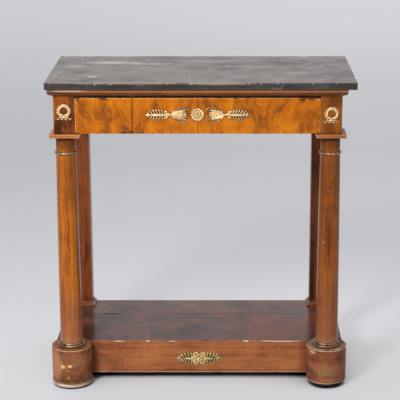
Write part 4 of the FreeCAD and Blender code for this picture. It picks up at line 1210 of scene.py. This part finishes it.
veneerMarks = {
    # colour, look, then each mark's place (across, up), reach (across, up) and strength, in mm
    # pale worn edges of the veneer, along its sides and top
    "rubbed": ("rubbed", {"Ragged": 0.9, "Solid": 0.3, "Scale": 70.0},
               (((-324, 766), (1.9, 140), 0.75), ((324, 735), (1.7, 50), 0.75),
                ((0, 813.8), (900, 1.3), 0.75))),
    "shades": ("brown", {"Ragged": 1.3, "Solid": 0.0, "Scale": 60.0},
               (((-118, 790), (22, 15), 0.60), ((-250, 780), (14, 46), 0.92),
                ((-240, 740), (13, 36), 0.75), ((-306, 797), (14, 18), 0.65),
                ((-314, 740), (8, 40), 0.35), ((166, 752), (14, 40), 0.55),
                ((281, 762), (34, 34), 0.50), ((300, 735), (30, 16), 0.45),
                ((8, 765), (16, 50), 0.30), ((100, 736), (40, 16), 0.35),
                ((-60, 733), (44, 14), 0.35), ((0, 805), (320, 7), 0.25))),
    # painted shade round the mounts, up from the middle of the mounts
    "mountShades": ("mountShade", {"Ragged": 0.35, "Solid": 0.45, "Scale": 160.0},
                (((-113, 0), (29, 13.5), 0.75), ((113, 0), (29, 13.5), 0.75),
                 ((-46, 0), (24, 19), 0.5), ((46, 0), (24, 19), 0.5), ((0, 0), (21.5, 21.5), 0.55))),
    "chips": ("umber", {"Ragged": 0.9, "Solid": 0.6, "Scale": 120.0},
              (((-194, 720), (10, 5.0), 0.9), ((-177, 721), (8, 6.4), 0.9),
               ((-251, 812), (12, 4.4), 0.9), ((-238, 809), (7, 2.6), 0.9),
               ((-316, 808), (4, 5.0), 0.9), ((-262, 719), (5, 2.6), 0.9),
               ((-120, 718), (7, 2.2), 0.9), ((152, 718), (13, 2.4), 0.9),
               ((277, 811), (10, 6.0), 0.9), ((300, 812), (14, 5.0), 0.9),
               ((100, 813), (7, 2.0), 0.9), ((-205, 813), (6, 2.2), 0.9),
               ((236, 718), (6, 2.0), 0.9))),
    "paleChips": ("bare", {"Ragged": 0.9, "Solid": 0.6, "Scale": 120.0},
                  (((316, 811), (7, 2.4), 0.9), ((-212, 813), (10, 1.6), 0.9),
                   ((20, 718), (3, 3), 0.9))),
    "seams": ("umber", {"Ragged": 0.35, "Solid": 0.3, "Scale": 50.0},
              (((-269.4, 766), (1.0, 300), 0.35), ((-173.1, 766), (2.0, 300), 0.95),
               ((0.0, 766), (1.4, 300), 0.7), ((173.0, 766), (1.0, 300), 0.3))),
}


def markVeneer(tree, color, face, level, shade, look, rows):
    # lays one group of marks; face and level in metres, the rest in mm
    marks = [((across, face / mm, level / mm + up), (wide, 100, tall), veneer[shade],
              {**look, "Amount": amount}) for (across, up), (wide, tall), amount in rows]
    return markColor(tree, color, marks)[0]


def figure(tree, low, high):
    # matched leaves: the same flame, clouds and burl folded over at each seam
    split = addNode(tree, "ShaderNodeSeparateXYZ", {0: objectPlace(tree)}).outputs
    fold = calc(tree, "PINGPONG", split[0], leaves["match"])
    drift = times(tree, split[0], 0.16)
    rise = calc(tree, "SUBTRACT", split[2], (low.z + high.z) / 2)
    match = addNode(tree, "ShaderNodeCombineXYZ", {0: fold, 1: drift, 2: rise}).outputs[0]
    bend = centred(tree, grainNoise(tree, match, 8.0, 4, 0.6)["Color"], 0.085)
    bent = vectorCalc(tree, "ADD", match, bend)
    slant = (0, math.radians(veneer["slant"]), 0)
    slanted = addNode(tree, "ShaderNodeMapping", {"Vector": bent, "Rotation": slant}).outputs[0]
    narrow = vectorCalc(tree, "MULTIPLY", slanted, (95.0, 30.0, 9.0))
    flame = grainNoise(tree, narrow, 1.0, 5, 0.6, 0.5)[0]
    wide = vectorCalc(tree, "MULTIPLY", slanted, (19.0, 12.0, 10.0))
    cloud = grainNoise(tree, wide, 1.0, 4, 0.55, 0.6)[0]
    burl = grainNoise(tree, bent, 75.0, 5, 0.65, 1.4)[0]
    tone = calc(tree, "ADD", times(tree, cloud, 0.58), times(tree, flame, 0.30))
    tone = calc(tree, "ADD", tone, times(tree, burl, 0.16))
    color = tint(tree, ease(tree, tone, 0.42, 0.54), veneer["brown"], veneer["orange"])
    color = tint(tree, ease(tree, tone, 0.52, 0.65), color, veneer["gold"])
    eyes = addNode(tree, "ShaderNodeTexVoronoi", {"Vector": bent, "Scale": 110.0}).outputs["Distance"]
    knots = times(tree, flipped(tree, ease(tree, eyes, 0.04, 0.24)), ease(tree, burl, 0.54, 0.70))
    color = tint(tree, times(tree, knots, 0.4), color, veneer["umber"])
    fibre = grainNoise(tree, vectorCalc(tree, "MULTIPLY", slanted, (520.0, 300.0, 45.0)), 1.0, 3)[0]
    color = tint(tree, times(tree, ease(tree, fibre, 0.45, 0.75), 0.24), color, veneer["brown"])
    return color, fibre


def veneerMaterial():
    material, tree, shader = newMaterial("figuredVeneer")
    low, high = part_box("drawer_veneer")
    color, fibre = figure(tree, low, high)
    for name in ("rubbed", "shades", "mountShades", "chips", "paleChips"):
        level = axisOf("drawer_rosette").z if name == "mountShades" else 0
        color = markVeneer(tree, color, low.y, level, *veneerMarks[name])
    wear = useGroup(tree, edgeGroup, {"Reach": 1.3 * mm, "Amount": 0.60})["Mask"]
    color = tint(tree, times(tree, wear, 0.85), color, veneer["worn"])
    nick = useGroup(tree, nickGroup, {"Share": 0.06})["Mask"]
    color = tint(tree, times(tree, nick, 0.8), color, veneer["umber"])
    color = markVeneer(tree, color, low.y, 0, *veneerMarks["seams"])
    color = tint(tree, useGroup(tree, grimeAndShadeGroup, veneer["dirtAndShade"])["Mask"], color, dirtAndShadeColor)
    smooth, dull = veneer["gloss"]
    hand = useGroup(tree, handlingGroup, {"Low": smooth, "High": dull})
    linkSockets(tree, shader, color, hand["Roughness"])
    setSockets(shader, specular=veneer["shine"], coat=veneer["polish"], coatIor=veneer["coatIor"],
               coatGloss=veneer["coatGloss"])
    giveBump(tree, shader, calc(tree, "SUBTRACT", times(tree, fibre, 0.25), nick), 0.15 * mm)
    return material


def buildLeaves():
    low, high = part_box("drawer_veneer")
    half = leaves["gap"] / 2
    points, faces = [], []
    for start, end in zip(leaves["seams"], leaves["seams"][1:]):
        rings = leafRings(start * mm + half, end * mm - half, low, high, leaves)
        morePoints, moreFaces = skin(rings)
        base = len(points)
        points += morePoints
        faces += [tuple(base + corner for corner in reversed(face)) for face in moreFaces]
    piece = meshPiece("drawerLeaves", points, faces, "drawer", veneerMaterial(), 50)
    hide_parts("drawer_veneer")


def buildDrawer():
    buildLeaves()
    dress(woodMaterial("drawerFrontWood", {**darkBareWood, "along": "x", "shift": (7, 0, 0)}),
          "drawer_front")
    dress(woodMaterial("drawerBackWood", {**bareWood, "along": "x"}), "drawer_back", "drawer_bottom")
    dress(woodMaterial("drawerSideWood", {**bareWood, "along": "y"}), "drawer_side_left",
          "drawer_side_right")


buildDrawer()
print("drawer veneered")


# gilt mounts, modelled in mm as (across, up, out) from the face that they lie on

gilt = {
    "bright": (0.980, 0.740, 0.410, 1), "base": (0.820, 0.520, 0.220, 1), "worn": (0.460, 0.230, 0.070, 1),
    "recess": (0.110, 0.042, 0.008, 1), "gloss": (0.36, 0.54), "matted": 0.30,
}
dullGilt = {
    "bright": (1.000, 0.780, 0.380, 1), "base": (0.780, 0.540, 0.210, 1), "worn": (0.260, 0.155, 0.045, 1),
    "recess": (0.050, 0.025, 0.009, 1), "gloss": (0.34, 0.52), "matted": 0.45,
}
casting = {"voxel": 0.34 * mm, "smooth": 2, "sunk": 0.3 * mm, "proud": 1.1 * mm,
           "hollow": 0.40, "level": 0.48, "net": 175.0}


def giltMaterial(name, finish, face):
    # dark patina in its hollows, and painted shade over all its low parts near its ground; brighter where it
    # stands proud
    material, tree, shader = newMaterial(name)
    place = objectPlace(tree)
    cloud = grainNoise(tree, place, 260.0, 4, 0.6)[0]
    color = tint(tree, ease(tree, cloud, 0.34, 0.62), finish["base"], finish["bright"])
    thin = grainNoise(tree, place, 120.0, 4, 0.7)[0]
    color = tint(tree, times(tree, ease(tree, thin, 0.60, 0.74), 0.6), color, finish["worn"])
    net = addNode(tree, "ShaderNodeTexVoronoi", {"Vector": place, "Scale": casting["net"]},
                  feature="DISTANCE_TO_EDGE").outputs[0]
    net = times(tree, flipped(tree, ease(tree, net, 0.03, 0.20)), finish["matted"])
    color = tint(tree, net, color, finish["recess"])
    bend = addNode(tree, "ShaderNodeNewGeometry").outputs["Pointiness"]
    color = tint(tree, times(tree, ease(tree, bend, 0.52, 0.62), 0.7), color, finish["bright"])
    hollow = flipped(tree, ease(tree, bend, casting["hollow"], casting["level"]))
    # painted shade on all parts lying low on the ground
    out = calc(tree, "SUBTRACT", face, addNode(tree, "ShaderNodeSeparateXYZ", {0: place}).outputs[1])
    sunk = flipped(tree, ease(tree, out, casting["sunk"], casting["proud"]))
    dark = times(tree, calc(tree, "MAXIMUM", hollow, sunk), 0.88)
    color = tint(tree, dark, color, finish["recess"])
    hand = useGroup(tree, handlingGroup, {"Low": finish["gloss"][0], "High": finish["gloss"][1]})
    linkSockets(tree, shader, color, hand["Roughness"])
    setSockets(shader, metal=1.0)
    giveBump(tree, shader, grainNoise(tree, place, 900.0, 2)[0], 0.12 * mm)
    return material


class Relief:
    # collects closed shells in mm, which are then cast into one mesh
    def __init__(self):
        self.points = []
        self.faces = []

    def shell(self, rings, loop=False):
        start = len(self.points)
        points, faces = skin(rings, capped=not loop)
        if loop:
            count = len(rings[0])
            last = (len(rings) - 1) * count
            faces += [(last + step, last + (step + 1) % count, (step + 1) % count, step)
                      for step in range(count)]
        self.points += points
        self.faces += [tuple(start + corner for corner in face) for face in faces]

    def leaf(self, root, angle, length, width, rise, foot=0.6, point=0.75, groove=0.25, lean=1.0):
        # pointed leaf, arched both ways, with a groove down its middle; lean moves its breadth out
        ahead = Vector((math.cos(math.radians(angle)), math.sin(math.radians(angle))))
        beside = Vector((-ahead.y, ahead.x))
        rings = []
        rows = 9
        for row in range(rows + 1):
            share = row / rows
            half = width / 2 * max(math.sin(math.pi * min(share ** lean * 1.04, 1.0)) ** point, 0.06)
            crown = foot + rise * (math.sin(math.pi * min(share + 0.12, 1.0)) ** 0.6)
            ring = []
            for across, up in ((-1, 0), (-1, 0.35), (-0.5, 1.0), (0, 1.0 - groove), (0.5, 1.0),
                               (1, 0.35), (1, 0)):
                spot = root + ahead * length * share + beside * half * across
                ring.append((spot.x, spot.y, crown * up))
            rings.append(ring)
        self.shell(rings)

    def blade(self, root, tip, width, rise, foot, point=0.6, lean=1.0):
        # leaf from one place to another
        run = tip - root
        angle = math.degrees(math.atan2(run.y, run.x))
        self.leaf(root, angle, run.length, width, rise, foot=foot, point=point, lean=lean)

    def dome(self, middle, radius, rise, foot=0.0, squash=1.0):
        steps = 20
        rings = []
        for row in range(6):
            turn = math.radians(88 * row / 5)
            reach = radius * math.cos(turn)
            rings.append([(middle.x + reach * math.cos(2 * math.pi * n / steps),
                           middle.y + squash * reach * math.sin(2 * math.pi * n / steps),
                           foot + rise * math.sin(turn)) for n in range(steps)])
        base = [(x, y, 0.0) for x, y, z in rings[0]]
        self.shell([base] + rings)

    def strip(self, line, width, rise, loop=False):
        # half-round rod along a line of flat points
        rings = []
        count = len(line)
        for number, here in enumerate(line):
            before = line[number - 1] if number or loop else here
            after = line[(number + 1) % count] if number + 1 < count or loop else here
            ahead = (after - before).normalized()
            beside = Vector((-ahead.y, ahead.x)) * width / 2
            ring = []
            for across, up in ((-1, 0), (-0.95, 0.4), (-0.55, 0.85), (0, 1), (0.55, 0.85),
                               (0.95, 0.4), (1, 0)):
                spot = here + beside * across
                ring.append((spot.x, spot.y, rise * up))
            rings.append(ring)
        self.shell(rings, loop)

    def cast(self, name, node, middle, flip, body, material):
        # set on its face, fused into one skin and softened as a casting is
        points = [(middle.x + flip * across * mm, middle.y - out * mm, middle.z + up * mm)
                  for across, up, out in self.points]
        faces = [tuple(reversed(face)) for face in self.faces] if flip > 0 else self.faces
        piece = meshPiece(name, points, faces, body, material)
        fuse = piece.modifiers.new("fuse", "REMESH")
        fuse.mode = "VOXEL"
        fuse.voxel_size = casting["voxel"]
        soften = piece.modifiers.new("soften", "SMOOTH")
        soften.factor = 0.5
        soften.iterations = casting["smooth"]
        settled = bpy.data.meshes.new_from_object(
            piece.evaluated_get(bpy.context.evaluated_depsgraph_get()))
        piece.modifiers.clear()
        piece.data = settled
        settled.name = name
        settled.polygons.foreach_set("use_smooth", [True] * len(settled.polygons))
        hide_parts(node)
        return piece


def onCircle(middle, radius, angle):
    return middle + Vector((math.cos(math.radians(angle)), math.sin(math.radians(angle)))) * radius


def arcLine(middle, radius, start, end, steps):
    return [onCircle(middle, radius, start + (end - start) * step / steps) for step in range(steps + 1)]


wreathShape = {
    "ringAbove": 24.5,  # from the foot of the mount to the middle of its ring
    "radius": 13.8, "band": (3.6, 1.9), "places": 9, "splay": 34, "first": -66, "last": 82,
    "leaf": (8.2, 3.7, 1.8), "leafFoot": 1.1,
    "ribbon": (3.2, 2.6), "ribbonDrop": 20.2, "ribbonStretch": 1.25, "step": 2.6,
    "tail": (5.2, 3.4, 1.4),
    "knot": (-17.4, 4.4, 3.6),  # up, radius, rise
    # leaves over the knot: (across, up), lean, (length, width, rise)
    "ties": (((1.6, -14.0), 20, (7.0, 3.2, 1.4)), ((5.0, -13.0), 6, (5.6, 2.8, 1.3))),
}


def wreathRelief():
    shape = wreathShape
    relief = Relief()
    centre = Vector((0, 0))
    ring = [onCircle(centre, shape["radius"], 360 * n / 72) for n in range(72)]
    relief.strip(ring, *shape["band"], loop=True)
    for number in range(shape["places"]):
        angle = shape["first"] + (shape["last"] - shape["first"]) * number / (shape["places"] - 1)
        for hand in (-1, 1):
            root = onCircle(centre, shape["radius"], angle)
            root.x *= hand
            heading = angle + 90 if hand > 0 else 90 - angle
            for splay in (-shape["splay"], 0, shape["splay"]):
                relief.leaf(root, heading + splay, *shape["leaf"], foot=shape["leafFoot"], lean=1.2)
    low = Vector((0, -shape["ribbonDrop"]))
    step = shape["step"]
    for hand in (-1, 1):
        wave = []
        for place, start, end in ((2, 180, 0), (2, 360, 180)):
            wave.append(arcLine(Vector((place * step, low.y)), step, start, end, 10))
        tail = arcLine(Vector((2 * step, low.y)), step, 180, 360, 8)
        tail += arcLine(Vector((4 * step, low.y)), step, 180, 0, 8)[1:]
        tail += arcLine(Vector((6 * step, low.y)), step, 180, 330, 8)[1:]
        for line in wave + [tail]:
            drawn = [Vector((point.x * hand, low.y + (point.y - low.y) * shape["ribbonStretch"]))
                     for point in line]
            relief.strip(drawn, *shape["ribbon"])
        relief.leaf(Vector((hand * 6.6 * step, low.y - 0.6 * step)), 90 - hand * 52, *shape["tail"])
    up, radius, rise = shape["knot"]
    relief.dome(Vector((0, up)), radius, rise, squash=0.8)
    for hand in (-1, 1):
        for (across, up), lean, size in shape["ties"]:
            relief.leaf(Vector((hand * across, up)), 90 - hand * lean, *size)
    return relief


rosetteShape = {
    "radius": 18.9, "boss": (2.0, 2.6),
    "outerPetals": 14, "outerPetal": (7.0, 1.9), "outerFoot": 1.3,
    "outerFrom": 0.59, "outerLong": 0.40,  # shares of the radius
    "innerPetals": 7, "innerPetal": (6.4, 4.6, 1.5), "innerFoot": 1.8, "innerFrom": 3.0,
}


def rosetteRelief():
    shape = rosetteShape
    relief = Relief()
    centre = Vector((0, 0))
    relief.dome(centre, shape["radius"] * 0.9, 0.6, foot=0.5)
    outer = shape["outerPetals"]
    for number in range(outer):
        angle = 360 * number / outer
        root = onCircle(centre, shape["radius"] * shape["outerFrom"], angle)
        relief.leaf(root, angle, shape["radius"] * shape["outerLong"], *shape["outerPetal"],
                    foot=shape["outerFoot"], point=0.30, groove=0.35, lean=1.2)
    inner = shape["innerPetals"]
    for number in range(inner):
        angle = 360 * (number + 0.5) / inner
        relief.leaf(onCircle(centre, shape["innerFrom"], angle), angle, *shape["innerPetal"],
                    foot=shape["innerFoot"], point=0.40, groove=0.35, lean=1.4)
    relief.dome(centre, *shape["boss"], foot=1.2)
    return relief


palmetteShape = {
    # places are along from the middle of the drawer and across from the mount's own line
    "bead": (24.4, 14.6), "beadSize": (2.2, 2.6), "hook": (1.8, 1.8), "hookStep": (0.9, 0.55),
    "bowCrown": (43.0, 20.2), "bowEnd": (67.0, 6.5), "bow": (1.7, 1.7),
    "knop": 74.0, "knopSize": (4.4, 3.6), "lip": 30.6, "lipHalf": 11.8, "lipBow": 2.6,
    "belly": (45, 12.5, 10.0), "shell": ((1.0, 5, 5.2, 1.4), (0.72, 4, 5.2, 2.0)),
    # leaves beside the shell: along, across, width
    "sideLeaves": ((36.5, 15.2, 4.4), (43.5, 15.0, 4.2), (50.5, 13.2, 4.0), (57.0, 10.4, 3.6)),
    "sideBack": 13, "flower": 46, "petals": 6, "petal": (5.0, 3.4, 1.4),
    "curl": (9.0, 7.8), "curlSize": (3.9, 2.2), "curlLeaf": (4.2, 1.5, 0.9), "neck": (6.4, 2.8),
    "plumeStart": 82.0, "plumeEnd": 140.4, "plumeLeaf": 3.9,
    # tips of the plume's leaves: along, across, and how far back each root lies
    "plumeTips": ((134.5, 7.2, 9), (127.6, 11.8, 10), (119.9, 14.8, 9.5), (112.0, 16.0, 8),
                  (104.0, 15.8, 6.5), (96.2, 14.6, 5), (88.6, 12.6, 3)),
}


def plumeLeaves(relief, shape):
    # a stout stem with blunt leaves apart from one another, and a longer one at its end
    start, end = shape["plumeStart"], shape["plumeEnd"]
    relief.leaf(Vector((start, 0)), 0, end - start - 5, 8.0, 1.8, foot=1.3, point=0.5,
                lean=0.8)
    relief.blade(Vector((end - 18, 0)), Vector((end, 0)), 4.2, 1.9, 0.9, lean=1.3)
    for along, across, back in shape["plumeTips"]:
        for hand in (-1, 1):
            tip = Vector((along, hand * across))
            root = Vector((along - back, hand * 0.5))
            relief.blade(root, tip, shape["plumeLeaf"], 1.9, 0.9, point=0.55, lean=1.5)


def palmetteRelief():
    shape = palmetteShape
    relief = Relief()
    knop = Vector((shape["knop"], 0))
    for hand in (-1, 1):
        bead = Vector((shape["bead"][0], hand * shape["bead"][1]))
        crown = Vector((shape["bowCrown"][0], hand * shape["bowCrown"][1]))
        end = Vector((shape["bowEnd"][0], hand * shape["bowEnd"][1]))
        relief.dome(bead, *shape["beadSize"])
        reach = crown.x - bead.x
        line = [Vector((bead.x + reach * (1 - math.cos(turn)),
                        bead.y + (crown.y - bead.y) * math.sin(turn)))
                for turn in (math.pi / 2 * n / 8 for n in range(9))]
        run = end - crown
        line += [crown + Vector((run.x * n / 8, run.y * (n / 8) ** 1.7)) for n in range(1, 9)]
        relief.strip(line, *shape["bow"])
        ahead, aside = shape["hookStep"]
        hook = [bead + Vector((ahead * n, -hand * aside * n)) for n in range(5)]
        relief.strip(hook, *shape["hook"])
    along, longHalf, wideHalf = shape["belly"]
    relief.dome(Vector((along, 0)), longHalf, 1.2, foot=0.8, squash=wideHalf / longHalf)
    for reach, count, width, foot in shape["shell"]:
        for number in range(count):
            across = 2 * number / (count - 1) - 1
            lip = Vector((shape["lip"], across * shape["lipHalf"]))
            lip.x += shape["lipBow"] * abs(across)
            tip = knop.lerp(lip, reach)
            relief.blade(knop, tip, width * 0.9, 1.2, foot, point=0.5, lean=1.5)
            relief.dome(tip, width * 0.40, 1.2, foot=foot * 0.8)
    for hand in (-1, 1):
        for along, across, width in shape["sideLeaves"]:
            tip = Vector((along, hand * across))
            root = Vector((along + shape["sideBack"], hand * across * 0.25))
            relief.blade(root, tip, width, 1.6, 1.0, point=0.42, lean=1.4)
    flower = Vector((shape["flower"], 0))
    for number in range(shape["petals"]):
        angle = 360 * number / shape["petals"]
        relief.leaf(onCircle(flower, 2.8, angle), angle, *shape["petal"], foot=2.2, point=0.45, lean=1.4)
    relief.dome(flower, 1.7, 1.8, foot=1.4)
    relief.dome(knop + Vector((1.0, 0)), *shape["knopSize"])
    for hand in (-1, 1):
        curl = knop + Vector((shape["curl"][0], hand * shape["curl"][1]))
        relief.dome(curl, *shape["curlSize"], foot=0.5)
        relief.blade(knop + Vector((1, 0)), curl + Vector((2, 0)), *shape["curlLeaf"])
    neck = [knop + Vector((n * 2.4 - 6, 0)) for n in range(8)]
    relief.strip(neck, *shape["neck"])
    plumeLeaves(relief, shape)
    return relief


platformMountShape = {
    "lobe": 10.0, "lobeX": 9.2, "lobeZ": 10.2, "lobePetals": 7, "lobePetal": (5.9, 1.6),
    "boss": (5.0, 3.4), "sideFlower": 17.5, "sidePetal": (5.6, 3.8, 1.6), "petal": (6.0, 3.6, 1.3),
    "wingStart": 13, "stem": (44, 4.4, 2.2), "lastRay": (50, 64.6), "lastRayWidth": 5.4,
    # tip along, tip across, and how far back the root of each ray lies
    "rays": ((23.5, 18.4, 2), (33.2, 18.8, 6), (42.8, 17.2, 9), (51.6, 13.6, 12), (58.4, 8.2, 13)),
    "ray": 4.7,
}


def platformRelief():
    shape = platformMountShape
    relief = Relief()
    centre = Vector((0, 0))
    for acrossHand in (-1, 1):
        for upHand in (-1, 1):
            middle = Vector((acrossHand * shape["lobeX"], upHand * shape["lobeZ"]))
            relief.dome(middle, shape["lobe"] * 0.8, 0.3, foot=0.3)
            for number in range(shape["lobePetals"]):
                angle = 360 * number / shape["lobePetals"] + 11
                relief.leaf(onCircle(middle, 2.8, angle), angle, shape["lobe"] - 2.6,
                            *shape["lobePetal"], foot=1.5, point=0.28, groove=0.45, lean=1.3)
            relief.dome(middle, 1.8, 1.6, foot=0.8)
    relief.dome(centre, *shape["boss"])
    for hand in (-1, 1):
        middle = Vector((hand * shape["sideFlower"], 0))
        for angle in range(0, 360, 60):
            relief.leaf(onCircle(middle, 1.2, angle), angle, *shape["sidePetal"], foot=1.4, point=0.42,
                        lean=1.3)
        relief.dome(middle, 1.8, 1.0, foot=2.4)
    for angle in range(0, 360, 60):
        relief.leaf(onCircle(centre, 2, angle), angle, *shape["petal"], foot=2.4)
    wing = Relief()
    start = shape["wingStart"]
    wing.leaf(Vector((start - 4, 0)), 0, *shape["stem"], foot=1.3, lean=0.8)
    for along, across, back in shape["rays"]:
        for hand in (-1, 1):
            tip = Vector((along, hand * across))
            root = Vector((along - back, hand * 1.5))
            wing.blade(root, tip, shape["ray"], 2.0, 0.9, point=0.35, lean=1.7)
    root, tip = [Vector((along, 0)) for along in shape["lastRay"]]
    wing.blade(root, tip, shape["lastRayWidth"], 2.0, 0.9, point=0.3, lean=1.5)
    for number in range(5):
        share = number / 4
        root = Vector((start + 3 + 16 * share, 0))
        for hand in (-1, 1):
            wing.leaf(root, hand * (56 - 16 * share), 7.4 - 2.4 * share, 2.8, 1.4, foot=1.6)
    for hand in (-1, 1):
        base = len(relief.points)
        relief.points += [(hand * across, up, out) for across, up, out in wing.points]
        relief.faces += [tuple(base + c for c in (face if hand > 0 else reversed(face)))
                         for face in wing.faces]
    return relief


def buildMounts():
    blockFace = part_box("front_block_left")[0].y
    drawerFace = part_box("drawer_veneer")[0].y
    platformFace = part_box("platform_veneer")[0].y
    bright = giltMaterial("giltBrass", gilt, blockFace)
    warm = giltMaterial("drawerGiltBrass", gilt, drawerFace)
    dull = giltMaterial("dullGiltBrass", dullGilt, platformFace)
    for side in sides:
        node = "wreath_" + side.lower()
        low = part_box(node)[0]
        middle = Vector((axisOf(node).x, blockFace, low.z + wreathShape["ringAbove"] * mm))
        wreathRelief().cast("wreath" + side, node, middle, 1, "table", bright)
    middle = axisOf("drawer_rosette")
    middle.y = drawerFace
    rosetteRelief().cast("drawerRosette", "drawer_rosette", middle, 1, "drawer", warm)
    for side, hand in sides.items():
        palmetteRelief().cast("palmette" + side, "palmette_" + side.lower(), middle, hand,
                              "drawer", warm)
    middle = axisOf("platform_mount")
    middle.y = platformFace
    platformRelief().cast("platformMount", "platform_mount", middle, 1, "table", dull)


buildMounts()
print("gilt mounts cast")
